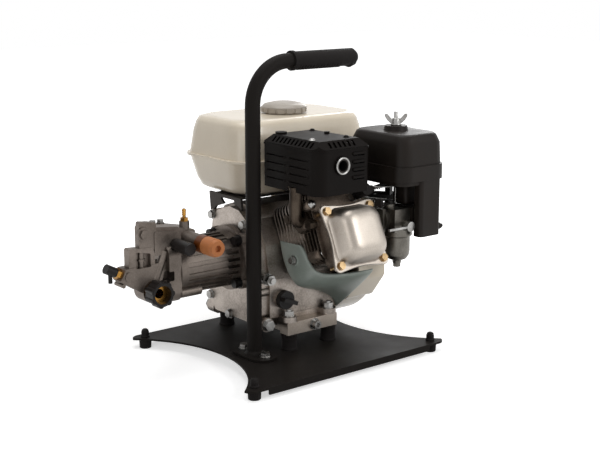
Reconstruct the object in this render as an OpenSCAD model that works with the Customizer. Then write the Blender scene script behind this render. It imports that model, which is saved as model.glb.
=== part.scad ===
// Petrol pressure washer on a flat skid plate: an engine with a direct-drive
// axial pump, carried by one bent tube handle.
// Millimetres, +Z up.  The engine's own frame has X along the crankshaft
// (pump at -X, starter at +X), the cylinder towards -Y, and Z = 0 at the sump.

/* [Base plate] */
// Distance between the left and right feet
foot_dx = 334; // [280:1:400]
// Distance between the front and rear feet
foot_dy = 286; // [250:1:340]
// Sheet thickness of the plate
plate_t = 3; // [2:0.5:5]
// Radius of the rounded ear around each foot
ear_r = 15; // [12:0.5:20]
// How far the ears stand out beyond the feet's spacing
ear_out = 5; // [0:0.5:8]
// Half width of the plate at its waist
waist_half = 120; // [105:1:135]
// Radius of the hollow cut in each side
waist_r = 195; // [180:1:260]
// Height of the bent-down front and rear lips
lip_h = 9; // [6:0.5:12]

/* [Feet] */
// Diameter of a rubber foot
foot_d = 19; // [16:0.5:24]
// Height of a foot under the plate
foot_h = 14; // [10:0.5:20]
// Diameter of a foot's neck through the plate
foot_neck_d = 8; // [6:0.5:10]
// Height of a foot's bulb above the plate
foot_bulb_h = 13; // [8:0.5:16]

/* [Handle] */
// Outer diameter of the handle tube
tube_d = 22.2; // [19:0.1:25.4]
// Wall of the handle tube
tube_wall = 2; // [1.5:0.1:3]
// Height of the carrying bar's centre above the ground
handle_z = 446; // [430:1:500]
// Centreline radius of the bend
bend_r = 61; // [50:1:75]
// Length of the grip
grip_len = 121; // [105:1:135]
// Outer diameter of the grip
grip_d = 26; // [25:0.5:32]
// Thickness of the post's foot flange
flange_t = 4; // [3:0.5:6]
// Distance between the two bolts of the post's foot flange
flange_bolt_dy = 52; // [46:1:60]

/* [Engine mounting] */
// Engine bolt spacing along the crankshaft
base_dx = 75.5; // [70:0.5:80]
// Engine bolt spacing across the crankshaft
base_dy = 162; // [158:0.5:170]
// Side of the square mounting bars
bar_w = 19; // [16:0.5:22]
// Length of the mounting bars
bar_len = 95; // [92:1:110]
// Diameter of a rubber isolator
iso_d = 25; // [20:0.5:28]
// Height of a rubber isolator
iso_h = 24; // [18:0.5:30]
// Diameter of the isolator studs
stud_d = 8; // [6:0.5:8]

/* [Engine] */
// Height of the crankshaft over the sump
crank_h = 106; // [104:0.5:112]
// Distance from the engine's centre to the pump flange
flange_x = 87; // [80:1:95]
// Pitch circle diameter of the pump flange bolts
flange_pcd = 92.1; // [88:0.1:96]
// Tilt of the cylinder above the horizontal
cyl_tilt = 24; // [22:0.5:26]
// Distance from the crankshaft to the head joint
deck_w = 126; // [124:1:132]
// Thickness of a cooling fin
fin_t = 2.4; // [1.6:0.1:3]
// Spacing of the cooling fins
fin_pitch = 7.5; // [6.5:0.5:10]
// Width of the rocker cover
rocker_w = 98; // [90:1:104]
// Height of the rocker cover
rocker_l = 98; // [90:1:104]
// Depth of the rocker cover's dome
rocker_dome = 24; // [18:1:30]

/* [Fuel tank] */
// Length of the tank along the crankshaft
tank_l = 256; // [220:1:260]
// Depth of the tank across the crankshaft
tank_d = 164; // [150:1:168]
// Height of the tank body under its seam
tank_low = 52; // [44:1:56]
// Height of the tank body over its seam
tank_high = 58; // [50:1:66]
// Wall of the tank
tank_wall = 3; // [2.5:0.5:5]
// Diameter of the fuel cap
cap_d = 69; // [60:1:74]

/* [Muffler guard] */
// Width of the guard along the crankshaft
guard_w = 94; // [80:1:104]
// Depth of the guard
guard_d = 127; // [110:1:140]
// Height of the guard
guard_h = 76; // [60:1:80]
// Sheet thickness of the guard
guard_t = 2; // [1.5:0.5:3]

/* [Air cleaner] */
// Width of the air cleaner along the crankshaft
air_w = 88; // [70:1:92]
// Depth of the air cleaner
air_d = 128; // [110:1:132]
// Height of the cover over its rim
air_cover_h = 64; // [60:1:74]
// Wall of the cover
air_wall = 2.5; // [2:0.5:4]

/* [Pump] */
// Diameter of the round pump body
pump_d = 84; // [76:1:90]
// Length of the pump body from the flange to the head
pump_len = 115; // [100:1:125]
// Bore of the garden-hose coupling
hose_bore_d = 26.4; // [25:0.1:28]
// Thread diameter of the high-pressure outlet
outlet_d = 22; // [20:0.5:24]

/* [Fits] */
// Running clearance of a turning piece in its bore, on the radius
run_gap = 0.06; // [0.02:0.01:0.1]
// Gap between pieces that don't touch but move past each other
air_gap = 0.3; // [0.2:0.1:0.6]
// Clearance of a bolt in its hole, on the radius
bolt_gap = 0.2; // [0.1:0.1:0.5]

/* [Hidden] */
$fn = 48;

// Levels above the ground
plate_z = foot_h;
deck_z = plate_z + plate_t;
bar_z = deck_z + iso_h;
bar_top = bar_z + bar_w;
sump_drop = 15;
ear_t = 8;
engine_x = 13;
engine_y = 40;
engine_z = bar_top - sump_drop;

// Levels and places in the engine's own frame
base_x = -3;
case_x0 = -60;
case_x1 = 58;
pto_x = -84;
cyl_x = 7;
rocker_v = -24;
fin_len = 34;
head_len = fin_len + 15;
rocker_rim_t = 5;
rocker_w0 = deck_w + head_len;
rocker_out = rocker_w0 + rocker_rim_t + rocker_dome;
dome_l = rocker_l - 34;
dome_w = rocker_w - 26;
tank_x0 = -94;
tank_y0 = -38;
tank_rim = 4;
seam_z = 249;
seam_t = 4;
tank_z0 = seam_z - tank_low;
tank_top = seam_z + seam_t + tank_high;

// The finished part stands on its feet, centred on its own outer box
relief_x = -292;
relief_tilt = 62;
relief_d = 14;
relief_len = 25;
relief_end = relief_x - relief_len * sin(relief_tilt) - relief_d / 2 * cos(relief_tilt);
box_x0 = engine_x + relief_end;
box_x1 = foot_dx / 2 + ear_out + ear_r;
box_y0 = engine_y - rocker_out * cos(cyl_tilt)
    + (rocker_v - (dome_l - 12) / 2) * sin(cyl_tilt);
box_y1 = engine_y + tank_y0 + tank_d + tank_rim;

module placed() {
    translate([-(box_x0 + box_x1) / 2, -(box_y0 + box_y1) / 2, 0]) children();
}

module on_engine() {
    placed() translate([engine_x, engine_y, engine_z]) children();
}

// Local Z runs out along the cylinder, local Y up across it
module on_cylinder() {
    on_engine() translate([cyl_x, 0, crank_h]) rotate([90 - cyl_tilt, 0, 0]) children();
}

// Local Z runs along +X, +Y or -Y
module along_x() { rotate([0, 90, 0]) children(); }
module along_y() { rotate([-90, 0, 0]) children(); }
module to_front() { rotate([90, 0, 0]) children(); }

// An outline drawn in Y and Z, pulled from x0 over a length along +X
module yz(x0, len) {
    translate([x0, 0, 0]) rotate([90, 0, 90]) linear_extrude(len) children();
}

// Rectangle with round corners, about its centre
module rr(w, d, r) {
    square([w - 2 * r, d], center = true);
    square([w, d - 2 * r], center = true);
    for (x = [-1, 1], y = [-1, 1])
        translate([x * (w / 2 - r), y * (d / 2 - r)]) circle(r);
}

// Convex outline with every corner rounded to r
function unit(v) = v / norm(v);
function corner(p, i, r) =
    let (n = len(p), b = p[i], u = unit(p[(i + n - 1) % n] - b), v = unit(p[(i + 1) % n] - b),
        h = acos(u * v) / 2, t = r / tan(h))
    [b + u * t, b + v * t, b + unit(u + v) * r / sin(h)];
module soft(p, r) {
    polygon([for (i = [0:len(p) - 1], k = [0, 1]) corner(p, i, r)[k]]);
    for (i = [0:len(p) - 1]) translate(corner(p, i, r)[2]) circle(r);
}

// Thin slice of a round-cornered block, for hulls
module slice(w, d, r, z) {
    translate([0, 0, z]) linear_extrude(0.01) rr(w, d, r, $fn = 32);
}

module hex(af, h) { cylinder(d = af / cos(30), h = h, $fn = 6); }

// Hex-headed bolt: shank down from 0, washer and head up
module bolt(d, len, head = 1) {
    translate([0, 0, -len]) cylinder(d = d, h = len);
    cylinder(d = 2.1 * d, h = 0.2 * d);
    translate([0, 0, 0.2 * d]) hex(1.6 * d * head, 0.65 * d);
}

// ---------- base plate, feet and handle ----------

post_x = -86;
post_y = -33;
flange_w = 44;
flange_l = flange_bolt_dy + 30;
handle_bolt_d = 8;
stud_hole_r = stud_d / 2 + bolt_gap;

module foot_places() {
    for (x = [-1, 1], y = [-1, 1])
        translate([x * foot_dx / 2, y * foot_dy / 2, 0]) children();
}

module plate_outline() {
    difference() {
        union() {
            square([foot_dx + 2 * ear_out, foot_dy + 2 * ear_r], center = true);
            for (x = [-1, 1], y = [-1, 1])
                translate([x * (foot_dx / 2 + ear_out), y * foot_dy / 2]) circle(ear_r);
        }
        for (x = [-1, 1])
            translate([x * (waist_half + waist_r), 0]) circle(waist_r, $fn = 160);
    }
}

module isolator_places() {
    for (x = [-1, 1], y = [-1, 1])
        translate([engine_x + base_x + x * base_dx / 2, engine_y + y * base_dy / 2, 0])
            children();
}

module handle_bolt_places() {
    for (y = [-1, 1])
        translate([post_x, post_y + y * flange_bolt_dy / 2, 0]) children();
}

module base_plate() {
    lip_len = foot_dx - 2 * ear_r;
    placed() color("#2b2523") {
        difference() {
            union() {
                translate([0, 0, plate_z]) linear_extrude(plate_t) plate_outline();
                for (y = [-1, 1])
                    translate([0, y * (foot_dy / 2 + ear_r - plate_t / 2), plate_z + plate_t / 2])
                        rotate([0, 90, 0]) {
                            cylinder(d = plate_t, h = lip_len, center = true);
                            translate([lip_h / 2, 0, 0])
                                cube([lip_h, plate_t, lip_len], center = true);
                        }
            }
            foot_places() cylinder(d = foot_neck_d + 2 * bolt_gap, h = 100);
            isolator_places() cylinder(r = stud_hole_r, h = 100);
            handle_bolt_places() cylinder(d = handle_bolt_d + 2 * bolt_gap, h = 100);
        }
    }
}

// Pull-in rubber bumper: fluted foot, neck through the plate, bulb on top
module rubber_feet() {
    flutes = 18;
    placed() color("#17181a") foot_places() {
        difference() {
            rotate_extrude() polygon([[0, 0], [foot_d / 2 - 1.2, 0], [foot_d / 2 - 0.4, 1],
                [foot_d / 2, foot_h - 2], [foot_d / 2, foot_h], [0, foot_h]]);
            for (i = [0:flutes - 1])
                rotate(i * 360 / flutes) translate([foot_d / 2 + 0.5, 0, 2])
                    cylinder(r = 1, h = foot_h - 5, $fn = 16);
        }
        cylinder(d = foot_neck_d, h = deck_z + 1);
        translate([0, 0, deck_z]) rotate_extrude() {
            polygon([[0, 0], [foot_neck_d / 2 + 3, 0], [foot_neck_d / 2 + 3, 2],
                [foot_neck_d / 2 + 2, 3.5], [foot_neck_d / 2 + 2, foot_bulb_h - 5],
                [foot_neck_d / 2 + 1, foot_bulb_h - 1.5],
                [foot_neck_d / 2 - 1, foot_bulb_h], [0, foot_bulb_h]]);
        }
    }
}

module handle_flange() {
    weld_h = 4;
    placed() color("#2b2523") translate([post_x, post_y, deck_z]) {
        difference() {
            linear_extrude(flange_t) rr(flange_w, flange_l, flange_w / 2 - 2);
            for (y = [-1, 1])
                translate([0, y * flange_bolt_dy / 2, -1])
                    cylinder(d = handle_bolt_d + 2 * bolt_gap, h = flange_t + 2);
        }
        // weld bead round the tube
        translate([0, 0, flange_t]) rotate_extrude()
            polygon([[tube_d / 2, 0], [tube_d / 2 + weld_h, 0], [tube_d / 2, weld_h]]);
    }
}

post_z0 = deck_z + flange_t;
post_len = handle_z - bend_r - post_z0;
grip_x0 = post_x + bend_r + 7;
grip_cap_t = 3;
tube_end = grip_x0 + grip_len - grip_cap_t;

module handle_tube() {
    placed() color("#2b2523") translate([post_x, post_y, 0]) {
        translate([0, 0, post_z0]) difference() {
            cylinder(d = tube_d, h = post_len);
            translate([0, 0, -1]) cylinder(d = tube_d - 2 * tube_wall, h = post_len + 2);
        }
        translate([bend_r, 0, handle_z - bend_r]) rotate([90, 0, 0])
            rotate([0, 0, 90]) rotate_extrude(angle = 90, $fn = 96)
                translate([bend_r, 0]) difference() {
                    circle(d = tube_d);
                    circle(d = tube_d - 2 * tube_wall);
                }
        translate([bend_r, 0, handle_z]) along_x() difference() {
            cylinder(d = tube_d, h = tube_end - post_x - bend_r);
            translate([0, 0, -1])
                cylinder(d = tube_d - 2 * tube_wall, h = tube_end - post_x);
        }
    }
}

// Rubber sleeve with a collar, finger ribs underneath and a hooked end
module handle_grip() {
    collar_t = 5;
    ribs = 16;
    rib_pitch = 5;
    hook_len = 18;
    placed() color("#1d1b1a") translate([grip_x0, post_y, handle_z]) along_x() {
        difference() {
            union() {
                cylinder(d = grip_d + 3, h = collar_t);
                cylinder(d = grip_d, h = grip_len - 6);
                translate([0, 0, grip_len - 6])
                    cylinder(d1 = grip_d, d2 = grip_d - 8, h = 6);
                // local +X is down
                for (i = [0:ribs - 1])
                    translate([1.6, 0, collar_t + 6 + i * rib_pitch])
                        cylinder(d = grip_d - 1, h = rib_pitch / 2);
                translate([4, 0, grip_len - 2 - hook_len])
                    cylinder(d1 = grip_d - 8, d2 = grip_d - 3, h = hook_len / 2);
                translate([4, 0, grip_len - 2 - hook_len / 2])
                    cylinder(d1 = grip_d - 3, d2 = grip_d - 9, h = hook_len / 2);
            }
            translate([0, 0, -1]) cylinder(d = tube_d, h = grip_len - grip_cap_t + 1);
        }
    }
}

module handle_bolts() {
    nut_h = 6.5;
    placed() color("#b9b6ac") handle_bolt_places() {
        translate([0, 0, deck_z + flange_t]) {
            bolt(handle_bolt_d, flange_t + plate_t + nut_h + 1);
        }
        translate([0, 0, plate_z - nut_h]) difference() {
            hex(13, nut_h);
            translate([0, 0, -1]) cylinder(d = handle_bolt_d, h = nut_h + 2);
        }
    }
}

// ---------- engine mounting ----------

module mount_bars() {
    placed() color("#b3afa9") translate([engine_x, 0, bar_z])
        for (y = [-1, 1])
            translate([0, engine_y + y * base_dy / 2, 0]) difference() {
                translate([base_x - bar_len / 2, -bar_w / 2, 0])
                    cube([bar_len, bar_w, bar_w]);
                for (x = [-1, 1])
                    translate([base_x + x * base_dx / 2, 0, -1])
                        cylinder(r = stud_hole_r, h = bar_w + 2);
                translate([0, -bar_w, bar_w / 2]) along_y()
                    cylinder(d = 8 + 2 * bolt_gap, h = 2 * bar_w);
            }
}

module isolators() {
    placed() color("#131416") isolator_places() translate([0, 0, deck_z]) difference() {
        rotate_extrude() polygon([[0, 0], [iso_d / 2, 0], [iso_d / 2, 2],
            [iso_d / 2 - 0.8, 3.5], [iso_d / 2 - 1.5, iso_h / 2], [iso_d / 2 - 0.8, iso_h - 3.5],
            [iso_d / 2, iso_h - 2], [iso_d / 2, iso_h], [0, iso_h]]);
        translate([0, 0, -1]) cylinder(d = stud_d, h = iso_h + 2);
    }
}

module isolator_studs() {
    nut_h = 6.5;
    under = 7;
    ear_top = bar_top + ear_t;
    placed() color("#b9b6ac") isolator_places() {
        translate([0, 0, plate_z - under])
            cylinder(d = stud_d, h = ear_top + nut_h + 4 - plate_z + under);
        translate([0, 0, plate_z - nut_h]) hex(13, nut_h);
        translate([0, 0, ear_top]) {
            cylinder(d = 17, h = 1.6);
            translate([0, 0, 1.6]) hex(13, nut_h);
        }
    }
}

module bar_screws() {
    head_d = 13;
    head_h = 8;
    reach = base_dy / 2 + bar_w / 2;
    placed() color("#c2bfb8") translate([engine_x, engine_y, bar_z + bar_w / 2])
        for (s = [0, 1]) rotate(s * 180) translate([0, -reach, 0]) to_front() {
            translate([0, 0, -bar_w - 8]) cylinder(d = 8, h = bar_w + 8);
            cylinder(d = 18, h = 1.5);
            translate([0, 0, 1.5]) difference() {
                cylinder(d = head_d, h = head_h);
                translate([0, 0, head_h / 2]) hex(6, head_h);
            }
        }
}

// ---------- crankcase ----------

case_front = -base_dy / 2 + 11;
case_back = base_dy / 2 - 13;
case_pts = [[case_front + 12, 4], [case_back - 14, 4], [case_back - 4, 14], [case_back, 34],
    [case_back, 96], [case_back - 10, 160], [44, 176], [10, 187], [-16, 184], [-40, 168],
    [case_front + 10, 130], [case_front, 80], [case_front, 20]];
shaft_d = 25;
pto_d = 19.05;
cap_x = -46;
cap_z = 48.5;
neck_y = base_dy / 2 - 7;
neck_bore = 20;
drain_x = -74;
drain_z = 13;
drain_d = 10;
drain_y = 72;
cover_bolt_at = [[-28, 159], [53, 162], [60, 34], [-60, 62], [10, 14]];
cover_bolt_d = 7;
cover_bolt_reach = 24;

module case_outline(k = 1) {
    translate([0, crank_h * (1 - k)]) scale(k) soft(case_pts, 6);
}

module pto_places() {
    for (a = [45:90:315])
        translate([0, flange_pcd / 2 * cos(a), crank_h + flange_pcd / 2 * sin(a)])
            children();
}

module fins(count, w, l, r) {
    for (i = [0:count - 1])
        translate([0, 0, i * fin_pitch]) linear_extrude(fin_t) rr(w, l, r);
}

module crankcase() {
    color("#8f8a86") difference() {
        union() {
            on_engine() {
                yz(case_x0, case_x1 - case_x0) case_outline();
                // sump foot between the mounting bars
                translate([base_x - bar_len / 2, -base_dy / 2 + bar_w / 2 + air_gap, 0])
                    cube([bar_len, base_dy - bar_w - 2 * air_gap, sump_drop + ear_t]);
                // ears on top of the bars
                for (x = [-1, 1], y = [-1, 1])
                    translate([base_x + x * base_dx / 2, y * base_dy / 2, sump_drop]) {
                        cylinder(d = 24, h = ear_t);
                        translate([-12, y > 0 ? -20 : 0, 0]) cube([24, 20, ear_t]);
                    }
                // oil filler necks, front and back
                for (s = [0, 180]) rotate(s)
                    translate([s == 0 ? cap_x : -cap_x, -neck_y, cap_z]) along_y()
                        cylinder(d1 = 27, d2 = 28, h = 16);
                // shoulder of the flywheel side
                translate([case_x1 - 12, 0, crank_h]) along_x() cylinder(d = 90, h = 12);
            }
            on_cylinder() {
                translate([0, 0, 40]) cylinder(d = 92, h = deck_w - 40);
                translate([0, 1, deck_w - 8 * fin_pitch]) fins(8, 96, 102, 14);
                translate([0, 1, deck_w - 4]) linear_extrude(4) rr(90, 92, 12);
            }
        }
        on_engine() {
            translate([case_x0 - 30, 0, crank_h]) along_x()
                cylinder(d = shaft_d + 2 * run_gap, h = 160);
            for (s = [0, 180]) rotate(s)
                translate([s == 0 ? cap_x : -cap_x, -neck_y - 1, cap_z]) along_y()
                    cylinder(d = neck_bore + 2 * run_gap, h = 26);
            for (s = [0, 180]) rotate(s)
                translate([0, -base_dy / 2, sump_drop - bar_w / 2]) along_y()
                    cylinder(d = 8, h = bar_w / 2 + 8);
            for (p = cover_bolt_at)
                translate([case_x0 - 1, p[0], p[1]]) along_x()
                    cylinder(d = cover_bolt_d, h = 13);
        }
        placed() isolator_places() cylinder(r = stud_hole_r, h = 90);
    }
}

module crankcase_cover() {
    boss_d = 17;
    rim_t = 8;
    on_engine() color("#a39f9d") difference() {
        union() {
            yz(case_x0 - rim_t, rim_t) case_outline();
            yz(pto_x, case_x0 - pto_x) case_outline(0.93);
            translate([-flange_x, 0, crank_h]) along_x() cylinder(d = 76, h = flange_x + case_x0);
            pto_places() translate([-flange_x, 0, 0]) along_x()
                cylinder(d = boss_d, h = flange_x + case_x0);
            for (p = cover_bolt_at)
                translate([case_x0 - cover_bolt_reach, p[0], p[1]]) along_x()
                    cylinder(d = boss_d - 1, h = cover_bolt_reach);
            // drain plug bosses
            for (s = [-1, 1])
                translate([drain_x, s * (drain_y - 8), drain_z]) rotate([s * -90, 0, 0])
                    translate([0, 0, -10]) cylinder(d = 22, h = 18);
            // web from the flange to the upper rear boss
            translate([-flange_x + 8, 20, crank_h + 20]) cube([flange_x + case_x0 - 8, 32, 32]);
        }
        translate([-flange_x - 1, 0, crank_h]) along_x()
            cylinder(d = shaft_d + 2 * run_gap, h = 160);
        pto_places() translate([-flange_x - 1, 0, 0]) along_x() cylinder(d = 8, h = 26);
        for (p = cover_bolt_at)
            translate([case_x0 - cover_bolt_reach - 1, p[0], p[1]]) along_x()
                cylinder(d = cover_bolt_d, h = cover_bolt_reach + 2);
        for (s = [-1, 1])
            translate([drain_x, s * (drain_y - 20), drain_z]) rotate([s * -90, 0, 0])
                cylinder(d = drain_d, h = 30);
        sensor_place() cylinder(d = 12, h = 40, center = true);
    }
}

module sensor_place() {
    translate([-76, -70.3, 84]) to_front() children();
}

module cover_bolts() {
    on_engine() color("#b3aea4") for (p = cover_bolt_at)
        translate([case_x0 - cover_bolt_reach, p[0], p[1]]) rotate([0, -90, 0])
            bolt(cover_bolt_d, cover_bolt_reach + 8.5);
}

module drain_bolts() {
    on_engine() color("#b3aea4") for (s = [-1, 1])
        translate([drain_x, s * drain_y, drain_z]) rotate([s * -90, 0, 0]) {
            translate([0, 0, -16]) cylinder(d = drain_d, h = 16);
            cylinder(d = 19, h = 1.5);
            translate([0, 0, 1.5]) hex(15, 6);
        }
}

// Level sensor: bright sleeve with a hexagon lock nut
module sensor_plug() {
    on_engine() color("#6d6f76") sensor_place() {
        translate([0, 0, -18]) cylinder(d = 12, h = 18);
        cylinder(d = 18, h = 6);
        translate([0, 0, 6]) hex(14, 9);
        translate([0, 0, 15]) cylinder(d = 9, h = 5);
    }
}

// Filler cap with a finger tab; local Z points out of the engine
module oil_cap() {
    cap_h = 9;
    translate([0, 0, -14]) cylinder(d = neck_bore, h = 14);
    translate([0, 0, air_gap]) cylinder(d = 28, h = cap_h);
    translate([-13, -3, cap_h]) cube([26, 6, 11]);
}

module front_oil_cap() {
    on_engine() color("#1b1b1d") translate([cap_x, -neck_y, cap_z]) to_front()
        rotate(-20) oil_cap();
}

module rear_oil_cap() {
    on_engine() color("#1b1b1d") translate([cap_x, neck_y, cap_z]) along_y() oil_cap();
}

// ---------- crankshaft, flywheel and recoil cup ----------

shaft_x1 = 104;
wheel_x = 66;
wheel_t = 16;
wheel_d = 164;
taper_d = 18;

module crankshaft() {
    on_engine() color("#7c7d80") translate([0, 0, crank_h]) {
        translate([-flange_x - 50, 0, 0]) along_x() cylinder(d = pto_d, h = 60);
        translate([-flange_x + 8, 0, 0]) along_x() cylinder(d = shaft_d, h = flange_x + case_x1);
        translate([case_x1, 0, 0]) along_x() cylinder(d = taper_d, h = shaft_x1 - case_x1);
    }
}

module flywheel() {
    blades = 20;
    blade_h = 14;
    on_engine() color("#6f7072") translate([wheel_x + air_gap, 0, crank_h]) along_x()
        difference() {
            union() {
                cylinder(d = wheel_d, h = wheel_t);
                for (i = [0:blades - 1]) rotate(i * 360 / blades)
                    translate([wheel_d / 2 - 34, -1.2, wheel_t]) cube([32, 2.4, blade_h]);
            }
            translate([0, 0, -1]) cylinder(d = taper_d, h = wheel_t + 2);
        }
}

module starter_cup() {
    cup_x = wheel_x + air_gap + wheel_t;
    cup_d = 64;
    on_engine() color("#77787b") translate([cup_x, 0, crank_h]) along_x() {
        difference() {
            cylinder(d = cup_d, h = 22);
            translate([0, 0, 3]) cylinder(d = cup_d - 5, h = 22);
            translate([0, 0, -1]) cylinder(d = taper_d, h = 6);
        }
        translate([0, 0, 3]) difference() {
            hex(24, 12);
            translate([0, 0, -1]) cylinder(d = taper_d, h = 14);
        }
    }
}

// ---------- cylinder head ----------

port_y = -118;
port_z = 174;
pipe_x0 = cyl_x - 48.7;
intake_y = -146;
intake_z = 168;
plug_u = 32;
plug_v = 37;
plug_w = deck_w + fin_len;
head_bolt = 40;

module rocker_bolt_places() {
    for (x = [-1, 1], y = [-1, 1])
        translate([x * head_bolt, rocker_v + y * head_bolt, rocker_w0 + rocker_rim_t])
            children();
}

module cylinder_head() {
    color("#8d8b8a") difference() {
        union() {
            on_cylinder() translate([0, 0, deck_w]) {
                linear_extrude(fin_len) translate([0, -6]) rr(70, 78, 12);
                translate([0, 1, 0]) linear_extrude(5) rr(90, 96, 12);
                translate([0, 1, 1]) fins(5, 98, 104, 12);
                translate([0, rocker_v, fin_len - 6]) linear_extrude(head_len - fin_len + 6)
                    rr(rocker_w - 10, rocker_l - 10, 16);
                // plug boss
                translate([plug_u, plug_v, 0]) cylinder(d = 24, h = fin_len);
            }
            on_engine() {
                translate([pipe_x0 - 1, port_y, port_z]) along_x() cylinder(d = 36, h = 30);
                for (s = [-1, 1])
                    translate([pipe_x0 - 1, port_y + s * 24, port_z]) along_x()
                        cylinder(d = 13, h = 30);
                translate([cyl_x + 22, intake_y, intake_z]) along_x() cylinder(d = 32, h = 31);
            }
        }
        on_engine() {
            // faced port, its bore and stud hole
            translate([pipe_x0 - 20, port_y - 34, port_z - 20]) cube([20, 68, 40]);
            translate([pipe_x0 - 2, port_y, port_z]) along_x() cylinder(d = pipe_in, h = 36);
            translate([pipe_x0 - 2, port_y - 24, port_z]) along_x() cylinder(d = 8, h = 6);
            translate([cyl_x + 18, intake_y, intake_z]) along_x() cylinder(d = 18, h = 36);
        }
        on_cylinder() {
            translate([plug_u, plug_v, plug_w - 18]) cylinder(d = 14, h = 19);
            rocker_bolt_places() translate([0, 0, -24]) cylinder(d = 6, h = 30);
            translate([-80, -100, deck_w - 90]) cube([160, 200, 90]);
        }
    }
}

module rocker_cover() {
    lobe_d = 20;
    on_cylinder() color("#c9c5bf") difference() {
        union() {
            translate([0, rocker_v, rocker_w0]) {
                linear_extrude(rocker_rim_t) rr(rocker_w - 8, rocker_l - 8, 20);
                linear_extrude(rocker_rim_t + 3) rr(dome_w + 8, dome_l + 16, 20);
            }
            rocker_bolt_places() translate([0, 0, -rocker_rim_t])
                cylinder(d = lobe_d, h = rocker_rim_t);
            translate([0, rocker_v, rocker_w0 + rocker_rim_t]) hull() {
                slice(dome_w + 6, dome_l + 14, 18, 0);
                slice(dome_w - 6, dome_l, 16, rocker_dome - 6);
                slice(dome_w - 18, dome_l - 12, 12, rocker_dome);
            }
        }
        rocker_bolt_places() translate([0, 0, -10])
            cylinder(d = 6 + 2 * bolt_gap, h = 30);
        // hollow behind the dome
        translate([0, rocker_v, rocker_w0 - 1]) linear_extrude(rocker_dome - 2)
            rr(dome_w - 8, dome_l - 4, 12);
    }
}

module rocker_cover_bolts() {
    on_cylinder() color("#c8a75a") rocker_bolt_places() bolt(6, 22, 1.05);
}

module spark_plug() {
    on_cylinder() color("#e5e2da") translate([plug_u, plug_v, plug_w]) {
        translate([0, 0, -17]) cylinder(d = 14, h = 17);
        cylinder(d = 19, h = 2);
        translate([0, 0, 2]) hex(18, 8);
        translate([0, 0, 10]) cylinder(d = 10, h = 14);
        translate([0, 0, 24]) cylinder(d = 6, h = 6);
    }
}

module plug_boot() {
    on_cylinder() color("#17181a") translate([plug_u, plug_v, plug_w + 12]) difference() {
        union() {
            cylinder(d = 18, h = 22);
            translate([0, 0, 14]) along_x() cylinder(d = 12, h = 16);
        }
        translate([0, 0, -1]) cylinder(d = 10, h = 13.2);
        translate([0, 0, 11]) cylinder(d = 6, h = 7.2);
    }
}

// ---------- exhaust ----------

pipe_d = 18;
pipe_in = 14;
pipe_bend = 9.5;
pipe_flange = 6;
guard_x = -17;
guard_y = -113.5;
guard_z = 220;
silencer_gap = 6;
guard_r = 5;
guard_front_r = 18;
bevel = 11;

module exhaust_pipe() {
    on_engine() color("#8a7765") translate([pipe_x0, port_y, port_z]) {
        difference() {
            union() {
                rotate([0, -90, 0]) {
                    cylinder(d = 34, h = pipe_flange);
                    for (s = [-1, 1]) translate([0, s * 24, 0])
                        cylinder(d = 14, h = pipe_flange);
                    translate([-7, -24, 0]) cube([14, 48, pipe_flange]);
                }
            }
            rotate([0, -90, 0]) translate([0, 0, -1]) {
                cylinder(d = pipe_in, h = pipe_flange + 2);
                for (s = [-1, 1]) translate([0, s * 24, 0]) cylinder(d = 8, h = 9);
            }
        }
        // elbow up into the silencer
        translate([-pipe_flange, 0, pipe_bend]) rotate([90, 0, 0])
            rotate(180) rotate_extrude(angle = 90) translate([pipe_bend, 0]) difference() {
                circle(d = pipe_d);
                circle(d = pipe_in);
            }
        translate([-pipe_flange - pipe_bend, 0, pipe_bend]) difference() {
            cylinder(d = pipe_d, h = guard_z + silencer_gap - port_z - pipe_bend);
            translate([0, 0, -1]) cylinder(d = pipe_in, h = 99);
        }
        for (s = [-1, 1]) translate([-pipe_flange, s * 24, 0]) rotate([0, -90, 0]) {
            translate([0, 0, s > 0 ? -5.5 : -8]) cylinder(d = 8, h = 13);
            hex(13, 6.5);
        }
    }
}

outlet_x = -21;
outlet_z = 261;
outlet_tube = 19;

// Silencer can: hollow, with the inlet below and the tail tube in front
module muffler() {
    can_w = guard_w - 2 * silencer_gap - 2 * guard_t;
    can_d = guard_d - 2 * silencer_gap - 2 * guard_t;
    can_h = guard_h - 2 * silencer_gap - guard_t;
    on_engine() color("#4a4340") difference() {
        union() {
            translate([guard_x, guard_y, guard_z + silencer_gap]) {
                linear_extrude(can_h) rr(can_w, can_d, 14);
                translate([0, 0, can_h / 2]) linear_extrude(3) rr(can_w + 6, can_d + 6, 17);
            }
            translate([outlet_x, guard_y, outlet_z]) to_front()
                cylinder(d = outlet_tube, h = guard_d / 2 + 3);
        }
        translate([guard_x, guard_y, guard_z + silencer_gap + 2])
            linear_extrude(can_h - 4) rr(can_w - 4, can_d - 4, 12);
        translate([outlet_x, guard_y, outlet_z]) to_front()
            cylinder(d = outlet_tube - 3, h = guard_d);
        translate([pipe_x0 - pipe_flange - pipe_bend, port_y, guard_z])
            cylinder(d = pipe_in, h = 20);
    }
}

// Rectangle w by d with one wide corner, front left, and three tight ones
module guard_outline(g = 0) {
    w = guard_w / 2 - g;
    d = guard_d / 2 - g;
    a = guard_front_r - g;
    b = guard_r - g;
    polygon([[a - w, -d], [w - b, -d], [w, b - d], [w, d - b], [w - b, d], [b - w, d],
        [-w, d - b], [-w, a - d]]);
    translate([a - w, a - d]) circle(a);
    for (p = [[w - b, b - d], [w - b, d - b], [b - w, d - b]]) translate(p) circle(b);
}

// Round-cornered box with a bevel round the top; g insets every face
module guard_block(g = 0) {
    w = guard_w - 2 * g;
    d = guard_d - 2 * g;
    h = guard_h - g;
    intersection() {
        translate([guard_x, guard_y, guard_z]) linear_extrude(h) guard_outline(g);
        yz(guard_x - w / 2, w) translate([guard_y, guard_z]) bevel_profile(d, h);
        translate([guard_x, guard_y + d / 2, guard_z]) to_front()
            linear_extrude(d) bevel_profile(w, h);
    }
}

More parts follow.
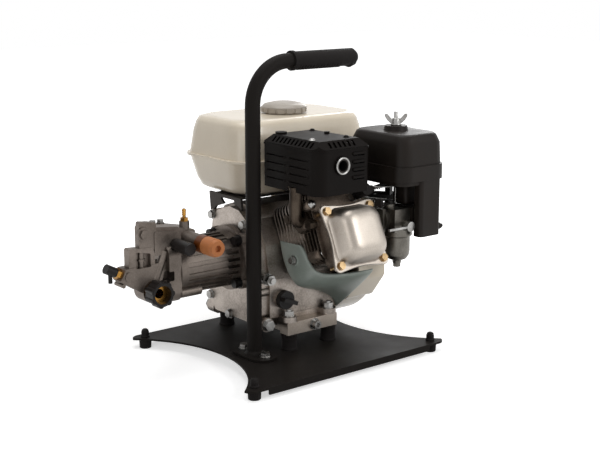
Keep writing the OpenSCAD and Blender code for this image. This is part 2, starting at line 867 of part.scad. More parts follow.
module bevel_profile(w, h) {
    polygon([[-w / 2, 0], [w / 2, 0], [w / 2, h - bevel], [w / 2 - bevel, h],
        [bevel - w / 2, h], [-w / 2, h - bevel]]);
}

// Pressed-steel guard with slotted bevels and louvres
module muffler_guard() {
    side_slots = 11;
    front_slots = 6;
    slot_w = 4;
    slot_pitch = 8.6;
    rows = 4;
    row_pitch = 11.3;
    ring = 27;
    louvre = 19;
    on_engine() color("#2e2825") {
        difference() {
            union() {
                guard_block();
                // lip of the lid over the walls
                translate([guard_x, guard_y, guard_z + guard_h - bevel - 3])
                    linear_extrude(2) guard_outline(-1.2);
                // rolled ring round the tail opening
                translate([outlet_x, guard_y - guard_d / 2 + 1, outlet_z]) to_front()
                    cylinder(d = ring, h = 3);
                // hooded louvres beside it
                for (i = [0:rows - 1])
                    translate([guard_x + 27 - louvre / 2, guard_y - guard_d / 2,
                        guard_z + 22 + i * row_pitch]) along_x() {
                        cylinder(d = 5, h = louvre);
                        sphere(d = 5);
                        translate([0, 0, louvre]) sphere(d = 5);
                    }
                // pressed bosses of the lid
                translate([guard_x - 27, guard_y + 46, guard_z + guard_h - 2])
                    cylinder(d = 17, h = 5);
                translate([guard_x + 26, guard_y + 6, guard_z + guard_h - 2])
                    cylinder(d = 8, h = 5);
            }
            guard_block(guard_t);
            translate([guard_x, guard_y, guard_z - 1])
                linear_extrude(2) guard_outline(guard_t);
            translate([outlet_x, guard_y, outlet_z]) to_front()
                cylinder(d = ring - 6, h = guard_d);
            for (s = [-1, 1], i = [0:side_slots - 1])
                translate([guard_x + s * (guard_w / 2 - 5.5),
                    guard_y + (i - (side_slots - 1) / 2) * slot_pitch, guard_z + guard_h - 5.5])
                    rotate([0, s * 45, 0]) cube([10, slot_w, 8], center = true);
            for (i = [0:front_slots - 1])
                translate([guard_x + (i - (front_slots - 1) / 2) * slot_pitch,
                    guard_y - guard_d / 2 + 5.5, guard_z + guard_h - 5.5])
                    rotate([45, 0, 0]) cube([slot_w, 10, 8], center = true);
            // louvres right of the tail opening, and along the left wall
            for (i = [0:rows - 1]) {
                translate([guard_x + 27, guard_y - guard_d / 2, guard_z + 19.3 + i * row_pitch])
                    cube([louvre + 2, 8, 2], center = true);
                for (j = [0, 1])
                    translate([guard_x - guard_w / 2, guard_y + 34 - j * 52,
                        guard_z + 14 + i * row_pitch])
                        cube([8, 42, 1.8], center = true);
            }
            // pipe passage
            translate([pipe_x0 - pipe_flange - pipe_bend, port_y, guard_z - 5])
                cylinder(d = pipe_d + 5, h = 12);
        }
    }
}

// ---------- carburettor and air cleaner ----------

carb_x = 72;
carb_len = 36;
carb_y = -150;
bowl_x = 100;
bowl_y = -163;
bowl_z = 151;
choke_z = 190;
lever_pin = 6;
fuel_x = 98;
fuel_y = -190.6;
fuel_z = 160;
air_x = 114;
air_y = -141;
air_z = 228;
duct_x = 127.5;
duct_w = 41;
duct_z0 = 144;
duct_front = -205;
duct_t = 18;
throat_d = 18;
duct_low = 162;

module carburetor() {
    on_engine() color("#6f6f72") difference() {
        union() {
            // insulator, then the body
            translate([cyl_x + 53, intake_y, intake_z]) along_x() cylinder(d = 32, h = 12);
            translate([cyl_x + 61, intake_y - 20, intake_z - 17]) cube([5, 38, 34]);
            translate([carb_x, carb_y - 4, intake_z]) along_x() cylinder(d = 34, h = carb_len);
            translate([bowl_x - 22, bowl_y - 18, bowl_z]) cube([30, 36, 34]);
            translate([bowl_x, bowl_y, bowl_z]) cylinder(d = 44, h = 10);
            translate([carb_x + 18, -156, choke_z - 18]) cylinder(d = 18, h = 18);
            // bracket of the fuel lever
            translate([fuel_x, bowl_y, fuel_z]) to_front()
                cylinder(d = 16, h = bowl_y - fuel_y - 5);
        }
        translate([cyl_x + 50, intake_y - 2, intake_z]) along_x()
            cylinder(d = throat_d, h = 90);
        translate([carb_x + 18, -156, choke_z - 12]) cylinder(d = lever_pin + 2 * run_gap, h = 20);
        translate([fuel_x, fuel_y + 12, fuel_z]) to_front()
            cylinder(d = lever_pin + 2 * run_gap, h = 20);
    }
}

module carb_bowl() {
    on_engine() color("#a5b0ac") translate([bowl_x, bowl_y, bowl_z]) {
        difference() {
            rotate_extrude() polygon([[0, -52], [6, -52], [7, -47], [14, -44], [18, -38],
                [19, -32], [19, -10], [22, -8], [22, 0], [0, 0]]);
            rotate_extrude() polygon([[0, -42], [12, -42], [16, -36], [17, -30], [17, 1],
                [0, 1]]);
        }
        translate([0, 0, -57]) hex(10, 5);
    }
}

module choke_lever() {
    arm = 34;
    on_engine() color("#26262a") translate([carb_x + 18, -156, choke_z]) {
        translate([0, 0, -10]) cylinder(d = lever_pin, h = 10 + air_gap);
        translate([0, 0, air_gap]) cylinder(d = 14, h = 5);
        rotate(200) translate([0, -4, air_gap]) cube([arm, 8, 3]);
        rotate(200) translate([arm - 4, -5, air_gap]) cube([6, 10, 12]);
    }
}

module fuel_lever() {
    rod = 42;
    on_engine() color("#c9c8c5") translate([fuel_x, fuel_y, fuel_z]) to_front() {
        translate([0, 0, -8]) cylinder(d = lever_pin, h = 8);
        translate([0, 0, -5 + air_gap]) cylinder(d = 15, h = 9);
        translate([-rod, 0, 2]) along_x() cylinder(d = 4.5, h = rod);
    }
}

lever_x = 82;
lever_y = -82;
lever_plate_t = 3;
fan_top = 194.5;

module control_plate() {
    on_engine() color("#8b8d90") translate([lever_x, lever_y, fan_top]) difference() {
        union() {
            translate([0, 6, 0]) linear_extrude(lever_plate_t) rr(42, 70, 6);
            cylinder(d = 14, h = lever_plate_t);
        }
        translate([0, 0, -1]) cylinder(d = lever_pin + 2 * run_gap, h = 9);
        for (x = [-1, 1]) translate([x * 14, 32, -1]) cylinder(d = 6, h = 9);
    }
}

module throttle_lever() {
    arm = 58;
    on_engine() color("#1e1e20")
        translate([lever_x, lever_y, fan_top + lever_plate_t]) {
            translate([0, 0, -lever_plate_t]) cylinder(d = lever_pin, h = lever_plate_t + 1);
            translate([0, 0, air_gap]) cylinder(d = 18, h = 5);
            rotate(-60) {
                translate([0, -5, air_gap]) cube([arm, 10, 3]);
                translate([arm - 5, -7, air_gap]) cube([8, 14, 14]);
            }
        }
}

air_step = 22;
element_z = air_z + 5 - air_gap;
air_r = 20;
air_top = air_z + air_cover_h + 4;
stud_r = 3;

module air_body(w, d, z0, z1, r) {
    translate([air_x, air_y, 0]) hull() {
        slice(w, d, r, z0);
        slice(w - 4, d - 4, r, z1 - 14);
        slice(w - 12, d - 12, r, z1 - 3);
        slice(w - 20, d - 20, r - 2, z1);
    }
}

module air_cleaner_base() {
    on_engine() color("#38312f") {
        difference() {
            union() {
                translate([air_x, air_y, air_z - 6]) linear_extrude(6)
                    rr(air_w - 4, air_d - 8, air_r - 3);
                translate([air_x, air_y, air_z - air_gap]) linear_extrude(5)
                    rr(air_w - 2 * air_wall - 2, air_d - 2 * air_wall - 2, air_r - 3);
                // duct down to the carburettor
                translate([duct_x, duct_front + duct_t / 2, duct_z0]) linear_extrude(air_z - duct_z0)
                    rr(duct_w, duct_t, 6);
                translate([carb_x + carb_len, duct_front + duct_t, duct_low])
                    cube([duct_x + duct_w / 2 - carb_x - carb_len, 56, 24]);
            }
            translate([duct_x, duct_front + duct_t / 2, 158]) cylinder(d = 13, h = 90);
            translate([duct_x, duct_front + 5, duct_low + 12]) along_y()
                cylinder(d = throat_d, h = 62);
            translate([carb_x + carb_len - 1, intake_y - 2, duct_low + 12]) along_x()
                cylinder(d = throat_d, h = 14);
        }
        difference() {
            translate([air_x, air_y, air_z + 4]) cylinder(r = 8, h = 4);
            translate([air_x, air_y, air_z]) cylinder(r = stud_r, h = 20);
        }
        translate([air_x, air_y, air_z + 3]) cylinder(r = stud_r, h = 92);
        // side screw of the duct
        translate([duct_x + duct_w / 2, duct_front + 10, duct_z0 + 10]) along_x() {
            cylinder(d = 12, h = 2);
            cylinder(d = 6, h = 12);
            translate([0, 0, 2]) hex(9, 6);
        }
    }
}

module filter_element() {
    on_engine() color("#4c4a46") translate([air_x, air_y, element_z + air_gap])
        linear_extrude(air_cover_h - 18) difference() {
            rr(air_w - 18, air_d - 18, air_r - 6);
            rr(air_w - 38, air_d - 38, air_r - 12);
        }
}

module air_cleaner_cover() {
    on_engine() color("#3a3231") difference() {
        union() {
            air_body(air_w, air_d, air_z + air_gap, air_top, air_r);
            translate([air_x, air_y, air_z + air_gap]) linear_extrude(air_step)
                rr(air_w + 3, air_d + 3, air_r + 1);
            translate([air_x, air_y, air_top - 1]) cylinder(d1 = 37, d2 = 33, h = 8);
        }
        translate([0, 0, -air_wall]) air_body(air_w - 2 * air_wall, air_d - 2 * air_wall,
            air_z + 2, air_top, air_r - 3);
        translate([air_x, air_y, air_z - 5]) linear_extrude(10)
            rr(air_w - 2 * air_wall, air_d - 2 * air_wall, air_r - 3);
        translate([air_x, air_y, air_z]) cylinder(r = stud_r + run_gap, h = 99);
    }
}

nut_z = air_top + 7 + air_gap;

module cover_wing_nut() {
    on_engine() color("#c4c3bd") translate([air_x, air_y, nut_z]) difference() {
        union() {
            cylinder(d = 15, h = 2);
            cylinder(d1 = 12, d2 = 9, h = 9);
            for (s = [0, 180]) rotate(s + 30) translate([9, 0, 10]) rotate([90, 0, 0])
                cylinder(d = 12, h = 2, center = true);
        }
        translate([0, 0, -1]) cylinder(r = stud_r + run_gap, h = 30);
    }
}

// ---------- fuel tank ----------

fill_x = 36;
fill_y = 30;
neck_d = 56;
neck_in = 46;
neck_h = 10;
tank_r = 38;

module tank_slice(inset, z, r) {
    slice(tank_l - 2 * inset, tank_d - 2 * inset, r, z);
}

// Two tubs meeting at the seam; g insets every wall
module tank_form(g) {
    translate([tank_x0 + tank_l / 2, tank_y0 + tank_d / 2, 0]) {
        hull() {
            tank_slice(g, seam_z + seam_t / 2, tank_r - g);
            tank_slice(8 + g, tank_z0 + 18, tank_r - g);
            tank_slice(13 + g, tank_z0 + 6 + g / 2, tank_r - g);
            tank_slice(24 + g, tank_z0 + g, tank_r - 6 - g);
        }
        hull() {
            tank_slice(g, seam_z + seam_t / 2, tank_r - g);
            tank_slice(5 + g, tank_top - 22 - g, tank_r - g);
            tank_slice(8 + g, tank_top - 10 - g, tank_r - g);
            tank_slice(12 + g, tank_top - 3 - g, tank_r - 3 - g);
            tank_slice(22 + g, tank_top - g, tank_r - 8 - g);
        }
    }
}

module fuel_tank() {
    on_engine() color("#e3d8c8") difference() {
        union() {
            tank_form(0);
            translate([tank_x0 + tank_l / 2, tank_y0 + tank_d / 2, seam_z])
                linear_extrude(seam_t) rr(tank_l + 2 * tank_rim, tank_d + 2 * tank_rim,
                    tank_r + tank_rim);
            translate([fill_x, fill_y, tank_top - 8]) cylinder(d = neck_d, h = 8 + neck_h);
        }
        tank_form(tank_wall);
        translate([fill_x, fill_y, tank_top - 20]) cylinder(d = neck_in, h = 40);
    }
}

seal_z = tank_top + neck_h;

module fuel_cap() {
    cap_h = 15;
    tabs = 16;
    on_engine() color("#bdb8b4") translate([fill_x, fill_y, seal_z - 8]) difference() {
        union() {
            rotate_extrude($fn = 96) polygon([[0, 0], [cap_d / 2 - 2, 0], [cap_d / 2, 1],
                [cap_d / 2, 8], [cap_d / 2 - 4, 12], [cap_d / 4, cap_h], [0, cap_h]]);
            for (i = [0:tabs - 1]) rotate(i * 360 / tabs)
                translate([cap_d / 2 - 3, -5, 0.5]) cube([4.2, 10, 6.5]);
        }
        translate([0, 0, -1]) cylinder(d = neck_d + 1.2, h = 9 + 3);
    }
}

module fuel_cap_seal() {
    on_engine() color("#1c1c1e") translate([fill_x, fill_y, seal_z]) difference() {
        union() {
            translate([0, 0, air_gap]) cylinder(d = neck_d, h = 2.4);
            translate([0, 0, -8]) cylinder(d = neck_in - 2 * run_gap, h = 9);
        }
        translate([0, 0, -20]) cylinder(d = neck_in - 6, h = 19);
        cylinder(d = 4, h = 9, center = true);
    }
}

module tank_bracket() {
    leg_t = 4;
    leg_x = [-84, 40];
    on_engine() color("#9a9692") difference() {
        union() {
            for (x = leg_x)
                yz(x, leg_t) polygon([[-26, 160], [58, 160], [62, tank_z0], [-20, tank_z0]]);
            translate([leg_x[0], -16, tank_z0 - 3])
                cube([leg_x[1] + leg_t - leg_x[0], 66, 3]);
        }
        yz(pto_x, case_x1 - pto_x) case_outline(1.004);
        for (p = cover_bolt_at) translate([-100, p[0], p[1]]) along_x()
            cylinder(d = 17, h = 45);
        yz(-90, 140) soft([[-8, 192], [34, 192], [20, 181], [4, 184]], 2);
    }
}

// ---------- cooling shroud, fan cover and recoil starter ----------

fan_r = 112;
fan_x0 = case_x1 + air_gap;
fan_len = 52;
fan_in = 56;
cheek_x = -46;

module fan_outline() {
    intersection() {
        union() {
            translate([0, crank_h]) circle(fan_r, $fn = 120);
            soft([[-96, 34], [0, 20], [0, 200], [-100, 200], [-124, 150], [-125, 72]], 14);
        }
        translate([-200, -50]) square([400, 50 + fan_top]);
    }
}

module fan_cover() {
    wall = 3;
    on_engine() color("#e6dccd") difference() {
        yz(fan_x0, fan_len) fan_outline();
        yz(fan_x0 - 1, fan_len - wall + 1)
            translate([0, crank_h * 0.028]) scale(0.972) fan_outline();
        translate([fan_x0, 0, crank_h]) along_x() cylinder(r = fan_in, h = 99);
        translate([fan_x0 + fan_len - 9, -98, 122]) along_x()
            cylinder(d = 8 + 2 * run_gap, h = 20);
        translate([lever_x, lever_y + 6, fan_top - 9]) for (x = [-1, 1])
            translate([x * 14, 26, 0]) cylinder(d = 5, h = 20);
    }
}

// Thin sheet between corner points
module sheet(pts) {
    hull() for (p = pts) translate(p) cube(2);
}

module cylinder_shroud() {
    sheet = 2;
    cheek_u = cheek_x - cyl_x;
    back = case_x1 - sheet;
    // lip under the head, and the edge below the cylinder
    lip = [[cheek_x + 1, -140, 121], [cheek_x + 6, -150, 109], [cheek_x + 19, -155, 101],
        [0, -158, 97], [back - 1, -160, 95]];
    low = [[cheek_x + 1, -103, 73], [cheek_x + 6, -98, 64], [cheek_x + 20, -90, 50],
        [20, -84, 42], [back - 1, -76, 34]];
    on_engine() color("#9cab9f") {
        yz(back, sheet) polygon([[-72, 18], [-76, 17], [-162, 94], [-152, 106], [-108, 74],
            [-72, 60]]);
        for (i = [0:len(lip) - 2]) sheet([lip[i], lip[i + 1], low[i], low[i + 1]]);
    }
    on_cylinder() color("#9cab9f") difference() {
        translate([cheek_u, 0, 0]) rotate([0, -90, 0]) translate([0, 0, -sheet])
            linear_extrude(sheet) polygon([[66, -48], [66, 4], [130, -24], [136, -48],
                [146, -66], [144, -84], [82, -76]]);
        translate([cheek_u, -34, 94]) rotate([0, -90, 0]) cylinder(d = 6, h = 9, center = true);
    }
}

module shroud_screws() {
    on_cylinder() color("#b9b6ac") translate([cheek_x - cyl_x, -34, 94]) rotate([0, -90, 0]) {
        translate([0, 0, -4]) cylinder(d = 6, h = 4);
        cylinder(d = 13, h = 2);
        translate([0, 0, 2]) hex(9, 5);
    }
}

starter_x = fan_x0 + fan_len;
starter_d = 150;
starter_t = 26;
rope_z = 160;

module starter_cover() {
    spokes = 24;
    on_engine() color("#2b2624") translate([starter_x, 0, crank_h]) along_x() {
        difference() {
            union() {
                cylinder(d = starter_d, h = starter_t - 8);
                translate([0, 0, starter_t - 8])
                    cylinder(d1 = starter_d, d2 = starter_d - 24, h = 8);
                // rope guide; local X is down
                translate([crank_h - rope_z, 0, starter_t / 2 - 2]) along_y()
                    cylinder(d = 20, h = starter_d / 2 - 8);
            }
            translate([0, 0, -1]) cylinder(d = starter_d - 6, h = starter_t - 8);
            for (i = [0:spokes - 1]) rotate(i * 360 / spokes)
                translate([38, -2.4, 5]) cube([22, 4.8, 40]);
            translate([crank_h - rope_z, 20, starter_t / 2 - 2]) along_y()
                cylinder(d = 8 + 2 * run_gap, h = 90);
        }
    }
}

module starter_grip() {
    on_engine() color("#1a1a1c")
        translate([starter_x + starter_t / 2 - 2, starter_d / 2 - 8 + air_gap, rope_z]) {
            translate([0, -22, 0]) along_y() cylinder(d = 8, h = 30);
            translate([0, 14, 0]) cylinder(d = 15, h = 44, center = true);
            along_y() cylinder(d1 = 12, d2 = 15, h = 12);
        }
}

module engine_switch() {
    on_engine() color("#a8231f") translate([starter_x, -98, 122]) along_x() {
        translate([0, 0, -8]) cylinder(d = 8, h = 9);
        translate([0, 0, air_gap]) cylinder(d = 24, h = 4);
        translate([-4, -11, 4]) cube([8, 22, 9]);
    }
}

// ---------- pump ----------

pump_x1 = -flange_x;
pump_x0 = pump_x1 - pump_len;
pump_flange_t = 10;
bolt_seat_x = pump_x1 - pump_flange_t + 0.5;
inlet_x = -245;
inlet_z = 86;
inlet_y = -34;
outlet_x2 = -181;
high_z = 151;
outlet_y = -60;
knob_x = -206;
barb_x = -180;
barb_z = 176;
outlet_ring = 15;
outlet_stub = 17;
relief_y = -22;
relief_z = 116;
relief_hex = 8;
pump_bolt_d = 8;

module pump_body() {
    ribs = 26;
    slots = 4;
    on_engine() color("#a6a19c") difference() {
        union() {
            translate([pump_x0, 0, crank_h]) along_x() {
                cylinder(d = pump_d - 6, h = pump_len);
                cylinder(d = pump_d, h = 12);
                for (i = [0:ribs - 1]) rotate(i * 360 / ribs)
                    translate([pump_d / 2 - 5, -1.6, 8]) cube([4.4, 3.2, pump_len - 28]);
                translate([0, 0, pump_len - 24]) cylinder(d = pump_d, h = 18);
                translate([0, 0, pump_len - pump_flange_t]) cylinder(d = 98, h = pump_flange_t);
            }
            pto_places() translate([pump_x1 - pump_flange_t, 0, 0]) along_x()
                cylinder(d = 19, h = pump_flange_t);
            // oil gallery along the lower front
            translate([pump_x0, -34, 76]) along_x() cylinder(d = 14, h = 34);
        }
        translate([pump_x1 - 52, 0, crank_h]) along_x() cylinder(d = pto_d + 2 * run_gap, h = 53);
        pto_places() translate([pump_x1 - 20, 0, 0]) along_x()
            cylinder(d = pump_bolt_d + 2 * bolt_gap, h = 30);
        pto_places() translate([bolt_seat_x - 24, 0, 0]) along_x() cylinder(d = 20, h = 24);
        for (i = [0:slots - 1])
            translate([pump_x1 - 34, -60, 90 + i * 10]) cube([20, 28, 5]);
    }
}

module pump_bolts() {
    on_engine() color("#1c1b1d") pto_places()
        translate([bolt_seat_x, 0, 0]) rotate([0, -90, 0]) {
            translate([0, 0, -pump_flange_t - 16])
                cylinder(d = pump_bolt_d, h = pump_flange_t + 16);
            cylinder(d = 16, h = 1.5);
            translate([0, 0, 1.5]) cylinder(d = 13, h = 9);
        }
}

// An outline drawn in X and Z, from its front face at y0 back over a depth
module xz(y0, depth) {
    translate([0, y0 + depth, 0]) to_front() linear_extrude(depth) children();
}

// Manifold: pumping block, suction arm with the inlet below, unloader bank above
module pump_head() {
    block_t = 20;
    on_engine() color("#aca7a1") difference() {
        union() {
            translate([pump_x0 - block_t, 0, crank_h]) yz(0, block_t) rr(80, 84, 16);
            // front web: arm, column and the slope down to the inlet
            xz(-32, 22) soft([[-296, 107], [-290, 103.5], [-246, 76], [-216, 66], [-206, 77],
                [-202, 100], [-202, 126], [-296, 124]], 3);
            xz(-31, 13) soft([[-282, 100], [-240, 100], [-240, 140], [-243, 149], [-282, 152]], 3);
            // unloader bank, its flange and the outlet manifold
            xz(-30, 9) soft([[-264, 146], [-236, 146], [-236, 184], [-264, 188]], 3);
            xz(-27, 22) soft([[-252, 140], [-204, 136], [-196, 172], [-252, 178]], 4);
            xz(-31, 54) soft([[-240, 136], [-196, 136], [-196, 164], [-240, 172]], 4);
            xz(-22, 42) soft([[-216, 140], [-166, 140], [-166, 163], [-200, 170]], 4);
            translate([outlet_x2, -4, high_z]) to_front() cylinder(d = 25, h = -outlet_y - 4);
            valve_cap_places() translate([0, 0, -20]) cylinder(d = 12, h = 20);
            translate([barb_x, -15, high_z]) cylinder(d = 15, h = barb_z - high_z);
            // boss round the inlet, and the rib from it to the unloader
            translate([inlet_x, -8, inlet_z]) to_front() cylinder(d = 34, h = -inlet_y - 8);
            translate([-240, -28, 99]) rotate([0, 24, 0]) cylinder(d = 12, h = 45);
            translate([relief_x, relief_y, relief_z]) relief_turn()
                translate([0, 0, -18]) cylinder(d = 22, h = 22);
            translate([-283, -30, 113]) to_front() cylinder(d = 13, h = 4);
            translate([-258, -28, 170]) to_front() cylinder(d = 20, h = 5);
            translate([-258, -32, 170]) to_front() hex(12, 4);
        }
        translate([outlet_x2, outlet_y + 22, high_z]) to_front() cylinder(d = 16, h = 30);
        translate([inlet_x, inlet_y + 20, inlet_z]) to_front() cylinder(d = 20, h = 30);
        translate([relief_x, relief_y, relief_z]) relief_turn() {
            translate([0, 0, -14]) cylinder(d = 10, h = 20);
            cylinder(d = 32, h = 30);
        }
        translate([knob_x, -12, high_z - 3]) to_front() {
            cylinder(d = 10 + 2 * run_gap, h = 40);
            translate([0, 0, 22]) cylinder(d = 20, h = 20);
        }
        translate([barb_x, -15, barb_z - 8]) cylinder(d = 6, h = 10);
        valve_cap_places() translate([0, 0, -10]) cylinder(d = 7, h = 30);
        // room for the pump's body
        translate([pump_x0, 0, crank_h]) along_x()
            cylinder(d = pump_d + 2 * air_gap, h = pump_len);
        translate([pump_x0, -34, 76]) along_x() cylinder(d = 14 + 2 * air_gap, h = 40);
        // window in the column, and pockets in the web
        xz(-40, 16) soft([[-271, 122], [-247, 122], [-247, 141], [-271, 146]], 2);
        xz(-40, 19) soft([[-230, 98], [-214, 98], [-214, 112], [-226, 112]], 2);
    }
    // spool in the window
    on_engine() color("#aca7a1") translate([-259, -24.5, 118]) {
        cylinder(d = 9, h = 30);
        translate([0, 0, 13]) cylinder(d = 12, h = 3);
    }
}

module relief_turn() { rotate([0, -relief_tilt, 0]) children(); }

module valve_cap_places() {
    for (x = [0:2]) translate([-232 + x * 13, 8, 173]) children();
}

module valve_caps() {
    on_engine() color("#5d5a58") valve_cap_places() {
        translate([0, 0, -10]) cylinder(d = 7, h = 10);
        hex(9, 5);
    }
}

// Thermal relief valve on the end of the suction arm
module relief_valve() {
    on_engine() color("#b98b45") translate([relief_x, relief_y, relief_z]) relief_turn() {
        translate([0, 0, -14]) cylinder(d = 10, h = 14);
        hex(14, relief_hex);
        translate([0, 0, relief_hex]) cylinder(d = 9, h = 5);
    }
}

// Its cap, with a drip nipple pointing down
module relief_cap() {
    on_engine() color("#1d1b1c") translate([relief_x, relief_y, relief_z]) relief_turn()
        difference() {
            union() {
                translate([0, 0, relief_hex]) cylinder(d = relief_d, h = relief_len - relief_hex);
                translate([0, 0, relief_hex + 9]) rotate([0, relief_tilt, 0])
                    translate([0, 0, -18]) cylinder(d = 6, h = 16);
            }
            translate([0, 0, relief_hex - 1]) cylinder(d = 9, h = 6);
        }
}

collar_len = 26;

module inlet_fitting() {
    on_engine() color("#c79a4e") translate([inlet_x, inlet_y, inlet_z]) to_front()
        difference() {
            union() {
                translate([0, 0, -20]) cylinder(d = 20, h = 20);
                cylinder(d = 27, h = 5);
                translate([0, 0, 5]) cylinder(d = 24, h = 9);
                translate([0, 0, 11]) cylinder(d = 30, h = 3);
            }
            translate([0, 0, -21]) cylinder(d = 14, h = 40);
        }
}

// Swivel collar with seven finger lobes and a female hose thread
module inlet_collar() {
    lobes = 7;
    on_engine() color("#1b1a1c") translate([inlet_x, inlet_y, inlet_z]) to_front()
        difference() {
            union() {
                translate([0, 0, 5 + air_gap]) cylinder(d = 34, h = collar_len - 6);
                for (i = [0:lobes - 1]) rotate(i * 360 / lobes)
                    translate([15, 0, 5.5 + air_gap]) cylinder(d = 9, h = collar_len - 7);
            }
            translate([0, 0, -1]) cylinder(d = 24 + 2 * run_gap, h = 20);
            translate([0, 0, 11 - air_gap]) cylinder(d = 30 + 2 * run_gap, h = 3 + 2 * air_gap);
            translate([0, 0, 14]) cylinder(d = hose_bore_d, h = 40);
        }
}

module outlet_fitting() {
    on_engine() color("#d98c1c") translate([outlet_x2, outlet_y, high_z]) to_front()
        difference() {
            union() {
                translate([0, 0, -22]) cylinder(d = 16, h = 22);
                cylinder(d = outlet_d + 4, h = outlet_ring);
                translate([0, 0, outlet_ring]) cylinder(d = outlet_d, h = outlet_stub);
            }
            translate([0, 0, -23]) cylinder(d = 10, h = 60);
        }
}

module outlet_cap() {
    on_engine() color("#eda766") translate([outlet_x2, outlet_y - outlet_ring, high_z]) to_front()
        difference() {
            union() {
                translate([0, 0, air_gap]) cylinder(d = outlet_d + 4, h = outlet_stub + 4);
                translate([0, 0, outlet_stub + 4])
                    cylinder(d1 = outlet_d + 4, d2 = outlet_d, h = 6);
            }
            translate([0, 0, -1]) cylinder(d = outlet_d + 2 * run_gap, h = outlet_stub + 1.5);
            translate([0, 0, outlet_stub + 5]) cylinder(d = 10, h = 20);
        }
}

module unloader_knob() {
    on_engine() color("#1a191b") translate([knob_x, -34, high_z - 3]) to_front() {
        translate([0, 0, -16]) cylinder(d = 10, h = 16 + air_gap);
        translate([0, 0, air_gap]) cylinder(d = 18.6, h = 35);
        translate([0, 0, 35]) cylinder(d1 = 18.6, d2 = 16, h = 3);
    }
}

module injector_barb() {
    on_engine() color("#c99b45") translate([barb_x, -15, barb_z]) difference() {
        union() {
            translate([0, 0, -8]) cylinder(d = 6, h = 8);
            hex(11, 5);
            cylinder(d = 5.2, h = 18);
            for (i = [0:2]) translate([0, 0, 9 + i * 3]) cylinder(d1 = 7, d2 = 5.2, h = 2.4);
        }
        translate([0, 0, -9]) cylinder(d = 2.6, h = 40);
    }
}

// ---------- which parts to draw ----------

base_plate();
rubber_feet();
handle_flange();
handle_tube();
handle_grip();
handle_bolts();
mount_bars();
isolators();
isolator_studs();
bar_screws();
crankcase();
crankcase_cover();
cover_bolts();
drain_bolts();
sensor_plug();
front_oil_cap();
rear_oil_cap();
crankshaft();
flywheel();
starter_cup();
cylinder_head();
rocker_cover();
rocker_cover_bolts();
spark_plug();
plug_boot();
exhaust_pipe();
muffler();
muffler_guard();
carburetor();
carb_bowl();
choke_lever();
fuel_lever();
control_plate();
throttle_lever();
air_cleaner_base();
filter_element();
air_cleaner_cover();
cover_wing_nut();
fuel_tank();
fuel_cap();
fuel_cap_seal();
tank_bracket();
cylinder_shroud();
fan_cover();
starter_cover();
starter_grip();
shroud_screws();
engine_switch();
pump_body();
pump_bolts();
pump_head();
valve_caps();
relief_valve();
relief_cap();
inlet_fitting();
inlet_collar();
outlet_fitting();
outlet_cap();
unloader_knob();
injector_barb();
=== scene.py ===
"""Petrol pressure washer on a base plate: its finishes, and the formed parts modelled here.
The file goes through the washer in the order in which it is put together."""
import math

import bmesh
import bpy
from mathutils import Matrix, Vector


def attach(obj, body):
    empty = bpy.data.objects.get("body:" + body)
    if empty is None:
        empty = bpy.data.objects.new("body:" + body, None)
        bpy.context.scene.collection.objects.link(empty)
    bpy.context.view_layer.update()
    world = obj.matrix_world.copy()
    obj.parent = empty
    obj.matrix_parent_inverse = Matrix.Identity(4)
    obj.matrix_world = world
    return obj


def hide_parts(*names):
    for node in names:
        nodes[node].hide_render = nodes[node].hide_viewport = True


# Camera: a long lens at the height of a standing person's knee, in front and to the left.
LENS_MM = 72.0
CAMERA_AT = Vector((-1.0228, -1.4014, 0.5900))
CAMERA_TURN = -38.34
CAMERA_PITCH = 90 - 12.53
camera = bpy.data.objects.new("camera", bpy.data.cameras.new("camera"))
camera.data.lens = LENS_MM
camera.data.sensor_width = 36.0
camera.data.clip_start = 0.05
camera.location = CAMERA_AT
camera.rotation_euler = (math.radians(CAMERA_PITCH), 0, math.radians(CAMERA_TURN))
scene = bpy.context.scene
scene.collection.objects.link(camera)
scene.camera = camera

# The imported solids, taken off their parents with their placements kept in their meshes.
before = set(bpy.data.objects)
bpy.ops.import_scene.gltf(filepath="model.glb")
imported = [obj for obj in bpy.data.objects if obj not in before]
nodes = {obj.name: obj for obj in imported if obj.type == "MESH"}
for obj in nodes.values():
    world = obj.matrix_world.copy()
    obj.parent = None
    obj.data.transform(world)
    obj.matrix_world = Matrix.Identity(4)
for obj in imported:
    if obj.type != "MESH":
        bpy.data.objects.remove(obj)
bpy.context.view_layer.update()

# Studio: a pale floor, a white surround that only the camera and mirrors see at full strength,
# and four large soft lamps.
MM = 0.001


def colour(hex_code, alpha=1.0):
    """A colour written in sRGB hex, as the linear values that shaders take."""
    parts = [int(hex_code[i:i + 2], 16) / 255 for i in (1, 3, 5)]
    return (*[p / 12.92 if p <= 0.04045 else ((p + 0.055) / 1.055) ** 2.4 for p in parts], alpha)


def add(tree, kind, links=None, values=None, **settings):
    """Adds a shader node: its settings, its socket values, and what feeds its sockets."""
    made = tree.nodes.new(kind)
    for name, value in settings.items():
        setattr(made, name, value)
    for socket, value in (values or {}).items():
        made.inputs[socket].default_value = value
    for socket, source in (links or {}).items():
        tree.links.new(source, made.inputs[socket])
    return made


def start_material(name):
    """An empty material, its output and other nodes still to be added by what follows."""
    material = bpy.data.materials.new(name)
    material.use_nodes = True
    material.node_tree.nodes.clear()
    return material, material.node_tree


def seen_directly(tree):
    """1 where the camera, a reflection or a transmitted ray looks, 0 for the light itself."""
    rays = add(tree, "ShaderNodeLightPath")
    both = add(tree, "ShaderNodeMath", operation="MAXIMUM",
               links={0: rays.outputs["Is Camera Ray"], 1: rays.outputs["Is Glossy Ray"]})
    return add(tree, "ShaderNodeMath", operation="MAXIMUM",
               links={0: both.outputs[0], 1: rays.outputs["Is Transmission Ray"]}).outputs[0]


